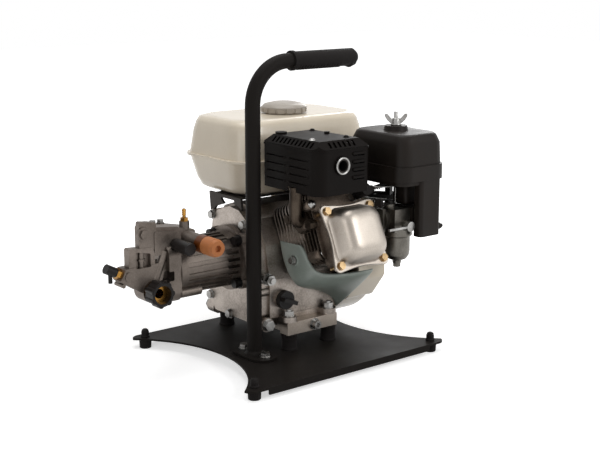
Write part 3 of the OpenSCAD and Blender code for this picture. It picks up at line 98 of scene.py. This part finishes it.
SURROUND_LIGHT = 0.22
world = bpy.data.worlds.new("studio surround")
scene.world = world
world.use_nodes = True
world.node_tree.nodes.clear()
level = add(world.node_tree, "ShaderNodeMapRange", links={0: seen_directly(world.node_tree)},
            values={3: SURROUND_LIGHT, 4: 1.0})
white = add(world.node_tree, "ShaderNodeBackground", values={"Color": colour("#ffffff")},
            links={"Strength": level.outputs[0]})
add(world.node_tree, "ShaderNodeOutputWorld", links={"Surface": white.outputs[0]})

# The floor glows more with distance, so that it runs into the surround without an edge.
FLOOR_SIZE = 12.0
floor_mesh = bmesh.new()
bmesh.ops.create_grid(floor_mesh, x_segments=1, y_segments=1, size=FLOOR_SIZE / 2)
floor = bpy.data.objects.new("floor", bpy.data.meshes.new("floor"))
floor_mesh.to_mesh(floor.data)
floor_mesh.free()
scene.collection.objects.link(floor)
paper, tree = start_material("pale matt studio paper")
surface = add(tree, "ShaderNodeBsdfDiffuse", values={"Color": colour("#e9e9e9"), "Roughness": 1.0})
place = add(tree, "ShaderNodeTexCoord")
away = add(tree, "ShaderNodeVectorMath", operation="LENGTH", links={0: place.outputs["Object"]})
reach = add(tree, "ShaderNodeMapRange", interpolation_type="SMOOTHSTEP",
            links={0: away.outputs["Value"]}, values={1: 0.2, 2: 0.9, 3: 0.55, 4: 1.0})
glow = add(tree, "ShaderNodeEmission", values={"Color": colour("#ffffff")},
           links={"Strength": reach.outputs[0]})
both = add(tree, "ShaderNodeAddShader", links={0: surface.outputs[0], 1: glow.outputs[0]})
pick = add(tree, "ShaderNodeMixShader", links={0: seen_directly(tree), 1: surface.outputs[0],
                                               2: both.outputs[0]})
add(tree, "ShaderNodeOutputMaterial", links={"Surface": pick.outputs[0]})
floor.data.materials.append(paper)

LAMPS_AIM_AT = Vector((0, 0, 0.22))
# name: (where it stands, width and height in metres, watts)
LAMPS = {
    "key softbox, front right": ((0.9, -1.9, 1.25), (0.9, 0.9), 17),
    "fill softbox, left": ((-1.9, -0.7, 0.9), (1.0, 1.0), 5),
    "overhead softbox": ((0.1, 0.1, 1.9), (1.3, 1.3), 17),
    "rim strip, behind right": ((1.6, 1.2, 1.0), (0.4, 1.4), 8),
}
for name, (place, size, watts) in LAMPS.items():
    lamp = bpy.data.objects.new(name, bpy.data.lights.new(name, "AREA"))
    lamp.data.shape = "RECTANGLE"
    lamp.data.size, lamp.data.size_y = size
    lamp.data.energy = watts
    lamp.location = place
    aim = LAMPS_AIM_AT - Vector(place)
    lamp.rotation_euler = aim.to_track_quat("-Z", "Y").to_euler()
    scene.collection.objects.link(lamp)
scene.view_settings.view_transform = "Standard"


# Base plate: a folded 2 mm steel plate, blasted and powder coated black, with four moulded
# rubber feet screwed up into it.
def finish(name, base, second, metallic=0.0, roughness=0.5, spread=0.08, grain_mm=1.0,
           grain_depth_mm=0.02, patch_mm=40.0, coat=0.0, sheen=0.5):
    """A surface in two close tones: broad patches, fine grain that lifts it, uneven gloss."""
    # real paint and casting grain is finer than 0.6 mm; it is drawn coarser here so that it shows
    material, tree = start_material(name)
    place = add(tree, "ShaderNodeTexCoord")
    patches, grain = [
        add(tree, "ShaderNodeTexNoise", links={"Vector": place.outputs["Object"]},
            values={"Scale": 1 / (size_mm * MM * 2), "Detail": detail, "Roughness": 0.55})
        for size_mm, detail in ((patch_mm, 3.0), (grain_mm, 6.0))]
    blend = add(tree, "ShaderNodeMath", operation="MULTIPLY_ADD",
                links={0: grain.outputs["Fac"], 2: patches.outputs["Fac"]}, values={1: 0.5})
    tone = add(tree, "ShaderNodeValToRGB", links={"Fac": blend.outputs[0]})
    for element, position, tint in zip(tone.color_ramp.elements, (0.55, 0.95), (second, base)):
        element.position = position
        element.color = colour(tint)
    gloss = add(tree, "ShaderNodeMapRange", links={0: patches.outputs["Fac"]},
                values={1: 0.3, 2: 0.7, 3: max(roughness - spread, 0.02), 4: roughness + spread})
    lift = add(tree, "ShaderNodeBump", links={"Height": grain.outputs["Fac"]},
               values={"Strength": 1.0, "Distance": grain_depth_mm * MM})
    shader = add(tree, "ShaderNodeBsdfPrincipled",
                 values={"Metallic": metallic, "Coat Weight": coat, "Specular IOR Level": sheen,
                         "Coat Roughness": 0.1},
                 links={"Base Color": tone.outputs["Color"], "Roughness": gloss.outputs[0],
                        "Normal": lift.outputs[0]})
    add(tree, "ShaderNodeOutputMaterial", links={"Surface": shader.outputs[0]})
    return material


def give(material, *names):
    """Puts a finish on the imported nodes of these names."""
    for name in names:
        slots = nodes[name].data.materials
        slots.clear()
        slots.append(material)


def soften(piece, width_mm, angle=30, segments=2):
    """Rounds the sharp edges of a piece and evens its shading."""
    edges = piece.modifiers.new("rounded edges", "BEVEL")
    edges.width = width_mm * MM
    edges.segments = segments
    edges.limit_method = "ANGLE"
    edges.angle_limit = math.radians(angle)
    even = piece.modifiers.new("even shading", "WEIGHTED_NORMAL")
    even.keep_sharp = True


def rounded(node, body, round_mm, angle=28):
    """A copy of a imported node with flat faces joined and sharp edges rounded, in its place."""
    source = nodes[node]
    mesh = bmesh.new()
    mesh.from_mesh(source.data)
    bmesh.ops.remove_doubles(mesh, verts=mesh.verts, dist=0.01 * MM)
    bmesh.ops.dissolve_limit(mesh, angle_limit=math.radians(0.6), verts=mesh.verts,
                             edges=mesh.edges)
    piece = bpy.data.objects.new(node + "_finished", bpy.data.meshes.new(node + "_finished"))
    mesh.to_mesh(piece.data)
    mesh.free()
    scene.collection.objects.link(piece)
    piece.data.materials.append(source.data.materials[0])
    piece.data.shade_smooth()
    soften(piece, round_mm, angle)
    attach(piece, body)
    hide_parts(node)


# dull black with a fine orange-peel texture, which keeps grazing light from shining
powder_black = finish("black textured powder coat", "#1e1b19", "#171412", roughness=0.55,
                      grain_mm=0.9, grain_depth_mm=0.04, sheen=0.07)
give(powder_black, "base_plate")
rounded("base_plate", "frame", 0.5)
# softer and duller than the paint beside it, with almost no highlight
rubber = finish("black moulded rubber", "#1a1716", "#120f0e", roughness=0.7, grain_mm=1.2,
                grain_depth_mm=0.02, sheen=0.15)
give(rubber, "rubber_feet")


# Carrying handle: a bent round tube in the same powder coat, bolted down through its flange,
# with a ribbed rubber grip pulled over the top.
give(powder_black, "handle_flange", "handle_tube")
give(rubber, "handle_grip")
rounded("handle_grip", "frame", 0.8)
# small bright highlights on every screw and stud
zinc = finish("bright zinc plate", "#a9a8a6", "#7f7d7a", metallic=1.0, roughness=0.3,
              grain_mm=0.6, grain_depth_mm=0.01, patch_mm=8)
give(zinc, "handle_bolts")


# Mounting: the engine and pump stand on two extruded aluminium bars, and each bar on rubber
# mounts with a steel stud through them.
# pale grey metal with broad soft reflections
bar_aluminium = finish("extruded aluminium", "#aea49a", "#8d8278", metallic=1.0, roughness=0.36,
                       grain_mm=0.8, grain_depth_mm=0.01)
give(bar_aluminium, "mount_bars")
rounded("mount_bars", "frame", 0.6)
give(rubber, "isolators")
give(zinc, "isolator_studs", "bar_screws")


# Crankcase: die-cast aluminium, left as cast, closed by a cast cover with a ring of bolts. Two
# moulded oil caps and two drain bolts are screwed in low down.
# warm light grey, grainy, darker in patches as bare castings are
cast_aluminium = finish("die-cast aluminium", "#b3aaa2", "#766e67", metallic=1.0,
                        roughness=0.42, grain_mm=1.1, grain_depth_mm=0.05, patch_mm=25)
give(cast_aluminium, "crankcase", "crankcase_cover")
rounded("crankcase", "frame", 0.8)
rounded("crankcase_cover", "frame", 0.8)
give(zinc, "drain_bolts", "crankshaft", "cover_bolts", "sensor_plug")
# smooth black, a little glossier than the rubber
black_plastic = finish("black moulded ABS", "#1b1716", "#12100f", roughness=0.42, grain_mm=0.7,
                       grain_depth_mm=0.02, sheen=0.2)
give(black_plastic, "front_oil_cap", "rear_oil_cap")


# Cylinder head: sand-cast aluminium with cooling fins, rough from the mould, and a spark plug
# under its rubber boot.
# the roughest and darkest of the castings, so that the fins read apart
head_aluminium = finish("sand-cast aluminium", "#7a6e63", "#494039", metallic=1.0,
                        roughness=0.52, grain_mm=1.3, grain_depth_mm=0.08, patch_mm=20)
give(head_aluminium, "cylinder_head")
rounded("cylinder_head", "frame", 0.5)
give(zinc, "spark_plug", "valve_caps")
give(rubber, "plug_boot")

# the engine's own origin, and the cylinder's axis, which leans forward from the crankshaft
ENGINE_AT = Vector((71.68, 38.35, 45.0)) * MM
in_engine = Matrix.Translation(ENGINE_AT)
CYLINDER_X, CRANK_HEIGHT, CYLINDER_RISE = 7, 106, 24
on_cylinder = (in_engine @ Matrix.Translation(Vector((CYLINDER_X, 0, CRANK_HEIGHT)) * MM)
               @ Matrix.Rotation(math.radians(90 - CYLINDER_RISE), 4, "X"))


def finished(name, mesh, body, material, place, stands_for=None):
    """Turns a bmesh drawn in millimetres into a piece that rides on a body."""
    bmesh.ops.scale(mesh, vec=(MM, MM, MM), verts=mesh.verts)
    bmesh.ops.transform(mesh, matrix=place, verts=mesh.verts)
    bmesh.ops.remove_doubles(mesh, verts=mesh.verts, dist=0.001 * MM)
    bmesh.ops.recalc_face_normals(mesh, faces=mesh.faces)
    piece = bpy.data.objects.new(name, bpy.data.meshes.new(name))
    mesh.to_mesh(piece.data)
    mesh.free()
    scene.collection.objects.link(piece)
    piece.data.materials.append(material)
    piece.data.shade_smooth()
    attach(piece, body)
    if stands_for:
        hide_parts(stands_for)
    return piece


def turned(name, profile, place, body, material, segments=32):
    """A lathe-turned piece: a profile of (radius, height) points spun about its own Z."""
    mesh = bmesh.new()
    points = [mesh.verts.new((radius, 0, height)) for radius, height in profile]
    rim = [mesh.edges.new(pair) for pair in zip(points, points[1:])]
    bmesh.ops.spin(mesh, geom=points + rim, cent=(0, 0, 0), axis=(0, 0, 1),
                   angle=2 * math.pi, steps=segments, use_merge=True)
    return finished(name, mesh, body, material, in_engine @ place)


def at(x, y, z, turn=0.0, axis="X"):
    """A place in the engine's frame, in millimetres, turned about one axis in degrees."""
    return (Matrix.Translation(Vector((x, y, z)) * MM)
            @ Matrix.Rotation(math.radians(turn), 4, axis))


# lugs at the head's exhaust side: across, up and along the cylinder to each bolt's seat
HEAD_LUGS = ((-47, 33, 160), (-49, 7, 150), (-42, -38, 150))
for index, seat in enumerate(HEAD_LUGS):
    stand = in_engine.inverted() @ on_cylinder @ Matrix.Translation(Vector(seat) * MM)
    turned("head_lug_%d" % index, [(0, 0), (7.2, 0), (8.4, -1.5), (9.6, -24), (0, -24)], stand,
           "frame", head_aluminium)
    turned("head_bolt_%d" % index, [(0, 6.4), (3.4, 6.4), (4.6, 5.4), (4.6, 1.8), (6.6, 1.4),
                                    (6.6, 0), (0, 0)], stand, "frame", zinc, segments=6)


# Rocker cover: a deep-drawn aluminium pan, screwed to the head at four lobes. Its flange draws in
# between the lobes, and its dome rises from the flange in one soft curve.
def pan_outline(mesh, width, depth, corner, z):
    """A flat face with round corners, centred on the origin at a height."""
    made = bmesh.ops.create_grid(mesh, x_segments=1, y_segments=1, size=0.5)["verts"]
    bmesh.ops.scale(mesh, vec=(width, depth, 1), verts=made)
    bmesh.ops.translate(mesh, vec=(0, 0, z), verts=made)
    bmesh.ops.bevel(mesh, geom=made, offset=corner, offset_type="OFFSET", segments=10,
                    profile=0.5, affect="VERTICES", material=-1)
    mesh.faces.ensure_lookup_table()
    return mesh.faces[-1]


def draw_up(mesh, face, size, levels):
    """Raises a face through levels of (width, depth, height), leaving walls behind it."""
    width, depth = size
    for next_width, next_depth, z in levels:
        grown = bmesh.ops.extrude_discrete_faces(mesh, faces=[face])["faces"][0]
        ring = list(grown.verts)
        centre = grown.calc_center_median()
        bmesh.ops.scale(mesh, vec=(next_width / width, next_depth / depth, 1), verts=ring,
                        space=Matrix.Translation(-centre))
        bmesh.ops.translate(mesh, vec=(0, 0, z - centre.z), verts=ring)
        width, depth, face = next_width, next_depth, grown


# a soft bright sheen that rolls over the dome
rocker_aluminium = finish("satin pressed aluminium", "#b3aba2", "#958d84", metallic=1.0,
                          roughness=0.4, grain_mm=0.7, grain_depth_mm=0.015)
give(rocker_aluminium, "rocker_cover")
# pale gold, the warm note at each corner of the rocker cover
yellow_zinc = finish("yellow passivated zinc", "#b39a76", "#8a7353", metallic=1.0,
                     roughness=0.34, grain_mm=0.6, grain_depth_mm=0.01, patch_mm=6)
give(yellow_zinc, "rocker_cover_bolts")
ROCKER_SEAT, ROCKER_V = 175.0, -24.0
LOBE_REACH, WAIST_X, WAIST_Y = 51, 43, 44
LOBE_ROUND, WAIST_ROUND, FLANGE_T = 11, 17, 5
lobed = bmesh.new()
ring = bmesh.ops.create_circle(lobed, cap_ends=True, segments=8, radius=1.0)["verts"]
lobes, waists = [], []
for vert in ring:
    x, y = vert.co.x, vert.co.y
    if abs(x) > 0.5 and abs(y) > 0.5:
        vert.co = (math.copysign(LOBE_REACH, x), math.copysign(LOBE_REACH, y), 0)
        lobes.append(vert)
    else:
        vert.co = (round(x) * WAIST_X, round(y) * WAIST_Y, 0)
        waists.append(vert)
for verts, bend in ((waists, WAIST_ROUND), (lobes, LOBE_ROUND)):
    bmesh.ops.bevel(lobed, geom=verts, offset=bend, offset_type="OFFSET", segments=8,
                    profile=0.5, affect="VERTICES", material=-1)
plate = bmesh.ops.extrude_face_region(lobed, geom=list(lobed.faces))["geom"]
bmesh.ops.translate(lobed, vec=(0, 0, FLANGE_T),
                    verts=[part for part in plate if isinstance(part, bmesh.types.BMVert)])
bmesh.ops.translate(lobed, vec=(0, ROCKER_V, ROCKER_SEAT), verts=lobed.verts)
flange = finished("rocker_cover_flange", lobed, "frame", rocker_aluminium, on_cylinder,
                  "rocker_cover")
soften(flange, 1.2)
# the dome's width and depth at each height above the seat
PAN, PAN_CORNER, PAN_FOOT = (84, 88), 20, 4.5
DOME = [(81, 85, 5.6), (79, 83, 7.2), (77.5, 81, 11), (74, 77, 20), (69, 72, 27), (62, 65, 32),
        (54, 57, 34.8), (45, 48, 36.2), (30, 33, 36.8)]
dome = bmesh.new()
draw_up(dome, pan_outline(dome, *PAN, PAN_CORNER, ROCKER_SEAT + PAN_FOOT), PAN,
        [(width, depth, ROCKER_SEAT + height) for width, depth, height in DOME])
bmesh.ops.translate(dome, vec=(0, ROCKER_V, 0), verts=dome.verts)
finished("rocker_cover_dome", dome, "frame", rocker_aluminium, on_cylinder)


# Cooling shroud: one sheet of enamelled steel, pressed so that it hugs the cylinder from the left
# and sweeps under the head to the fan side. Its edges are turned in, and a ringed dimple takes
# the screw.
# flat grey-green paint, even and lightly glossy
shroud_green = finish("grey-green enamel", "#98a099", "#879088", roughness=0.35, grain_mm=1.2,
                      grain_depth_mm=0.02)
give(shroud_green, "cylinder_shroud")
give(zinc, "shroud_screws")
CHEEK = -45.0
# stations along the sheet, in the engine's frame: lower edge, upper edge, how far it bulges
SHEET = [((CHEEK, -62, 137), (CHEEK, -110, 138), (0, 0, 0)),
         ((CHEEK, -67, 119), (CHEEK, -121, 130), (0, 0, 0)),
         ((CHEEK, -73, 104), (CHEEK, -128, 118), (0, 0, 0)),
         ((CHEEK, -83, 89), (CHEEK, -136, 110), (-1, 0, 0)),
         ((CHEEK, -96, 79), (CHEEK + 1, -144, 105), (-2, -1, -1)),
         ((CHEEK + 4, -104, 73), (CHEEK + 8, -151, 101), (-4, -3, -4)),
         ((-24, -99, 67), (-22, -156, 97), (-2, -4, -6)),
         ((3, -93, 58), (8, -159, 94), (0, -4, -7)),
         ((26, -91, 47), (36, -160, 93), (0, -3, -6)),
         ((46, -86, 34), (53, -161, 93), (0, -2, -3)),
         ((56, -76, 18), (57, -161, 94), (0, 0, 0))]
LENGTHS, ROWS = len(SHEET) - 1, 5
TURNED_IN, SHEET_T, CHEEK_STATIONS = 5.0, 1.6, 5
sheet = bmesh.new()
bmesh.ops.create_grid(sheet, x_segments=LENGTHS, y_segments=ROWS, size=0.5)
for vert in sheet.verts:
    column = round((vert.co.x + 0.5) * LENGTHS)
    row = round((vert.co.y + 0.5) * ROWS)
    low, high, bulge = (Vector(part) for part in SHEET[column])
    share = (min(max(row, 1), ROWS - 1) - 1) / (ROWS - 2)
    vert.co = low.lerp(high, share) + bulge * math.sin(math.pi * share)
    if row in (0, ROWS):
        # the two outer rows turn inward: sideways on the cheek, back and up below the head
        vert.co += (Vector((TURNED_IN, 0, 0)) if column < CHEEK_STATIONS
                    else Vector((0, TURNED_IN, TURNED_IN * 0.5)))
shroud = finished("cylinder_shroud_sheet", sheet, "frame", shroud_green,
                  in_engine, "cylinder_shroud")
wall = shroud.modifiers.new("sheet thickness", "SOLIDIFY")
wall.thickness = SHEET_T * MM
wall.offset = 0
curve = shroud.modifiers.new("pressed curve", "SUBSURF")
curve.levels = curve.render_levels = 2
DIMPLE_R, BEAD_R = 8.5, 1.5
SCREW_AT = (CHEEK - 0.4, -99.7, 113.1)
dimple = bmesh.new()
section = bmesh.ops.create_circle(dimple, segments=10, radius=BEAD_R)["verts"]
bmesh.ops.rotate(dimple, matrix=Matrix.Rotation(math.pi / 2, 3, "X"), verts=section)
bmesh.ops.translate(dimple, vec=(DIMPLE_R, 0, 0), verts=section)
bmesh.ops.spin(dimple, geom=dimple.edges[:], cent=(0, 0, 0), axis=(0, 0, 1),
               angle=2 * math.pi, steps=32, use_merge=True)
bmesh.ops.rotate(dimple, matrix=Matrix.Rotation(math.pi / 2, 3, "Y"), verts=dimple.verts)
bmesh.ops.translate(dimple, vec=SCREW_AT, verts=dimple.verts)
finished("cylinder_shroud_dimple", dimple, "frame", shroud_green, in_engine)


# Exhaust: a bent steel pipe, browned by heat, leads up to the pressed muffler, which stands
# inside a guard of black enamelled sheet. The tailpipe's spun lip shows in the guard's front,
# and small dimples mark where its louvres end.
# brown-grey steel, patchy where the heat has reached it
hot_steel = finish("heat-tinted steel", "#51483f", "#322b25", metallic=1.0, roughness=0.45,
                   grain_mm=1.0, grain_depth_mm=0.04, patch_mm=12)
give(hot_steel, "exhaust_pipe")
rounded("exhaust_pipe", "frame", 0.6)
# very dark dull metal behind and below the brighter pieces
cast_iron = finish("cast iron", "#46423f", "#2f2c2a", metallic=1.0, roughness=0.6,
                   grain_mm=1.5, grain_depth_mm=0.1)
give(cast_iron, "muffler")
# deep satin black that catches only faint edges of light
guard_black = finish("satin black heatproof enamel", "#15110f", "#0f0c0a", roughness=0.5,
                     grain_mm=0.8, grain_depth_mm=0.015, sheen=0.06)
give(guard_black, "muffler_guard")
rounded("muffler_guard", "frame", 0.5)

# the guard's faces in the engine's frame, and the middle of the tailpipe in its front
GUARD_LEFT, GUARD_FRONT, GUARD_TOP = -64.0, -177.0, 296
TAIL_X, TAIL_Z, LIP_PROUD = -21.0, 261.0, 1.6
turned("tailpipe_lip", [(9.6, 0), (12.2, 0), (12.8, 1.2), (12.2, 2.6), (10.8, 2.8), (9.6, 1.6),
                        (9.6, 0)],
       at(TAIL_X, GUARD_FRONT - LIP_PROUD, TAIL_Z, 90), "frame", zinc)
LOWEST_LOUVRE, LOUVRE_PITCH, LOUVRES = 234, 11.3, 4
for row in range(LOUVRES):
    for y in (-59.5, -101.5, -111.5, -153.5):
        turned("guard_dimple_%d_%d" % (row, -y), [(0, 1.3), (1.2, 1.1), (2.0, 0.0)],
               at(GUARD_LEFT, y, LOWEST_LOUVRE + LOUVRE_PITCH * row, -90, "Y"), "frame",
               guard_black, segments=12)
for name, x, y, coating in (("guard_screw_front", -50, -146, zinc),
                            ("guard_screw_left", 8, -152, guard_black),
                            ("guard_screw_back", 12, -70, guard_black)):
    turned(name, [(0, 3.0), (2.0, 2.8), (3.4, 2.0), (3.8, 0.6), (5.2, 0.5), (5.2, 0)],
           at(x, y, GUARD_TOP), "frame", coating, segments=16)


# Carburettor: cast zinc, with a drawn float bowl under it, a fuel lever at its front and a choke
# lever on its side. The governor arm, two springs and the rods are of zinc-plated wire.
# mid grey casting, finer in grain than the crankcase
carburettor_zinc = finish("cast zinc", "#6f6c66", "#504d48", metallic=1.0, roughness=0.36,
                          grain_mm=0.9, grain_depth_mm=0.03, patch_mm=15)
give(carburettor_zinc, "carburetor", "carb_bowl")
rounded("carburetor", "frame", 0.6)
give(zinc, "fuel_lever")
give(black_plastic, "choke_lever")
give(cast_iron, "control_plate")
give(guard_black, "throttle_lever")


def wire(name, points, radius_mm):
    """A bent zinc-plated wire through points in the engine's frame, in millimetres."""
    line = bpy.data.curves.new(name, "CURVE")
    line.dimensions = "3D"
    line.bevel_depth = radius_mm * MM
    line.bevel_resolution = 2
    line.use_fill_caps = True
    spline = line.splines.new("POLY")
    spline.points.add(len(points) - 1)
    for point, place in zip(spline.points, points):
        point.co = (*(ENGINE_AT + Vector(place) * MM), 1)
    piece = bpy.data.objects.new(name, line)
    scene.collection.objects.link(piece)
    line.materials.append(zinc)
    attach(piece, "frame")


def spring_points(start, end, radius, turns):
    """A tension spring between two points, with short straight hooks."""
    start, end = Vector(start), Vector(end)
    axis = (end - start).normalized()
    side = axis.orthogonal().normalized()
    other = axis.cross(side)
    points = [start]
    steps, hook = 10, 0.12
    for step in range(turns * steps + 1):
        angle = 2 * math.pi * step / steps
        along = start.lerp(end, hook + (1 - 2 * hook) * step / (turns * steps))
        points.append(along + (side * math.cos(angle) + other * math.sin(angle)) * radius)
    return points + [end]


def extruded(name, outline, thickness, place, body, material, edge_mm=0.4):
    """A flat outline of (x, y) points, given a thickness about its own plane."""
    mesh = bmesh.new()
    face = mesh.faces.new([mesh.verts.new((x, y, -thickness / 2)) for x, y in outline])
    raised = bmesh.ops.extrude_face_region(mesh, geom=[face])["geom"]
    bmesh.ops.translate(mesh, vec=(0, 0, thickness),
                        verts=[part for part in raised if isinstance(part, bmesh.types.BMVert)])
    piece = finished(name, mesh, body, material, in_engine @ place)
    soften(piece, edge_mm)
    return piece


# the throttle lever sweeps below the governor spring and rod and above the other two wires
wire("governor_spring", spring_points((64, -112, 207), (112, -118, 206.5), 2.6, 9), 0.6)
wire("idle_spring", spring_points((70, -122, 192.5), (104, -146, 190.5), 2.0, 8), 0.5)
wire("governor_rod", [(62, -116, 211), (63, -140, 216), (74, -153, 216), (98, -155, 215),
                      (102, -155, 212), (102, -155, 190)], 1.2)
wire("return_rod", [(60, -108, 195), (76, -116, 195), (96, -142, 194), (96, -142, 186)], 1.0)
STRIP_T = 2.5
# the two black strips after the governor arm are painted shade: dark sheets put in the shaded
# space behind the linkage, standing for no known part
for name, outline, stand, coating in (
        ("governor_arm", [(-4, 0), (4, 0), (5, 46), (3, 60), (-3, 60), (-5, 46)],
         (62, -116, 152), zinc),
        ("shade_sheet_upper", [(8, 0), (58, 0), (58, 20), (24, 20), (22, 7), (8, 5)],
         (92, -108, 203), guard_black),
        ("shade_sheet_lower", [(-6, 0), (58, 0), (58, 13), (-6, 13)], (92, -112, 183), guard_black)):
    extruded(name, outline, STRIP_T, at(*stand, 90), "frame", coating)


# Air cleaner: a moulded polypropylene base and cover over a block of foam, held down by one
# wing nut on a long steel stud. A moulded elbow joins the base to the carburettor.
# black with a trace of brown, matt and slightly pebbled
air_plastic = finish("brown-black moulded polypropylene", "#1f1915", "#15110e", roughness=0.5,
                     grain_mm=0.8, grain_depth_mm=0.03, sheen=0.15)
give(air_plastic, "air_cleaner_base", "air_cleaner_cover")
rounded("air_cleaner_base", "frame", 1.0)
rounded("air_cleaner_cover", "air_cover", 0.6, angle=50)
# open dark pores, drawn coarser than real foam so that they show
foam = finish("filter foam", "#6f6a62", "#4d4943", roughness=0.95, grain_mm=1.6,
              grain_depth_mm=0.6)
give(foam, "filter_element")
ELBOW_SIZE, ELBOW_AT, ELBOW_ROUND = (44, 30, 34), (128, -158, 204), 5
elbow = bmesh.new()
bmesh.ops.create_cube(elbow, size=1.0)
bmesh.ops.scale(elbow, vec=ELBOW_SIZE, verts=elbow.verts)
bmesh.ops.translate(elbow, vec=ELBOW_AT, verts=elbow.verts)
bmesh.ops.bevel(elbow, geom=elbow.edges[:], offset=ELBOW_ROUND, offset_type="OFFSET", segments=3,
                profile=0.5, affect="EDGES", material=-1)
finished("air_cleaner_elbow", elbow, "frame", air_plastic, in_engine)
give(zinc, "cover_wing_nut")
NUT_AT = (114, -141, 303.3)
turned("cover_stud_thread", [(0, 19.9), (2.4, 19.9), (3.2, 19.1), (3.2, 0)], at(*NUT_AT),
       "frame", zinc, segments=20)
nut = turned("wing_nut_hub", [(3.6, 0), (7.8, 0), (7.8, 1.6), (6.4, 2.6), (5.6, 9.5), (4.8, 10.4),
                              (3.6, 10.4), (3.6, 0)], at(*NUT_AT), "wing_nut", zinc)
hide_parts("cover_wing_nut")
WING = [(4.4, 1.6), (9, 3.2), (13.5, 7.5), (16.5, 12.5), (17, 15.5), (15.4, 17), (12.8, 16.4),
        (9, 12), (5.4, 8.6), (4.4, 8.4)]
WING_T, WING_EDGE = 2.6, 0.7
for side in (-34, 146):
    upright = at(*NUT_AT, side, "Z") @ Matrix.Rotation(math.pi / 2, 4, "X")
    extruded("wing_nut_wing_%d" % side, WING, WING_T, upright, "wing_nut", zinc, WING_EDGE)


# Fan housing and recoil starter: the housing is a cream enamelled pressing over the flywheel.
# The moulded starter is screwed to its right side, and the switch sits in its front.
give(cast_iron, "flywheel")
# clean warm white with a gentle clear gloss
cream = finish("cream baked enamel", "#e6dac6", "#e0d3be", roughness=0.24, spread=0.03,
               grain_mm=1.5, grain_depth_mm=0.01, coat=0.2, sheen=0.35)
give(cream, "fan_cover")
rounded("fan_cover", "frame", 2.5)
give(black_plastic, "starter_cover", "starter_grip")
rounded("starter_cover", "frame", 1.0)
give(zinc, "starter_cup")
# the one strong red, moulded and shiny
switch_red = finish("red moulded plastic", "#a8231f", "#951d1a", roughness=0.3, grain_mm=0.8,
                    grain_depth_mm=0.01)
give(switch_red, "engine_switch")


# Fuel tank: two deep-drawn steel tubs seamed together and enamelled cream, on a steel bracket.
# A moulded cap with a rubber seal closes the neck.
give(cast_iron, "tank_bracket")
rounded("tank_bracket", "frame", 0.4)
give(cream, "fuel_tank")
rounded("fuel_tank", "frame", 0.4, angle=50)
# light warm grey, matt beside the enamel
cap_grey = finish("grey moulded plastic", "#a9a095", "#9b9388", roughness=0.4, grain_mm=0.8,
                  grain_depth_mm=0.02)
give(cap_grey, "fuel_cap")
rounded("fuel_cap", "tank_cap", 0.5, angle=40)
give(rubber, "fuel_cap_seal")


# Pump: shot-blasted cast aluminium, with a brass inlet, relief valve and barb screwed into the
# head, an amber outlet with its travel cap, and black moulded knob and collar.
# grey with an even, blasted tooth
pump_aluminium = finish("shot-blasted cast aluminium", "#7a716a", "#5a534d", metallic=1.0,
                        roughness=0.5, grain_mm=1.0, grain_depth_mm=0.05, patch_mm=20)
give(pump_aluminium, "pump_body", "pump_head")
rounded("pump_body", "frame", 0.6)
rounded("pump_head", "frame", 1.0)
# yellow metal with sharp small highlights
brass = finish("turned brass", "#a87c3c", "#7d5a29", metallic=1.0, roughness=0.25,
               grain_mm=0.6, grain_depth_mm=0.01, patch_mm=6)
give(brass, "relief_valve", "inlet_fitting", "injector_barb")
# dark orange brown, slightly deep in tone
amber = finish("amber acetal", "#673205", "#592a04", roughness=0.35, grain_mm=0.8,
               grain_depth_mm=0.01, sheen=0.2)
give(amber, "outlet_fitting")
# light orange, soft and waxy
cap_orange = finish("light orange polythene", "#ba7546", "#ad6a3c", roughness=0.45,
                    grain_mm=0.8, grain_depth_mm=0.01, sheen=0.25)
give(cap_orange, "outlet_cap")
give(black_plastic, "inlet_collar", "unloader_knob", "pump_bolts", "relief_cap")
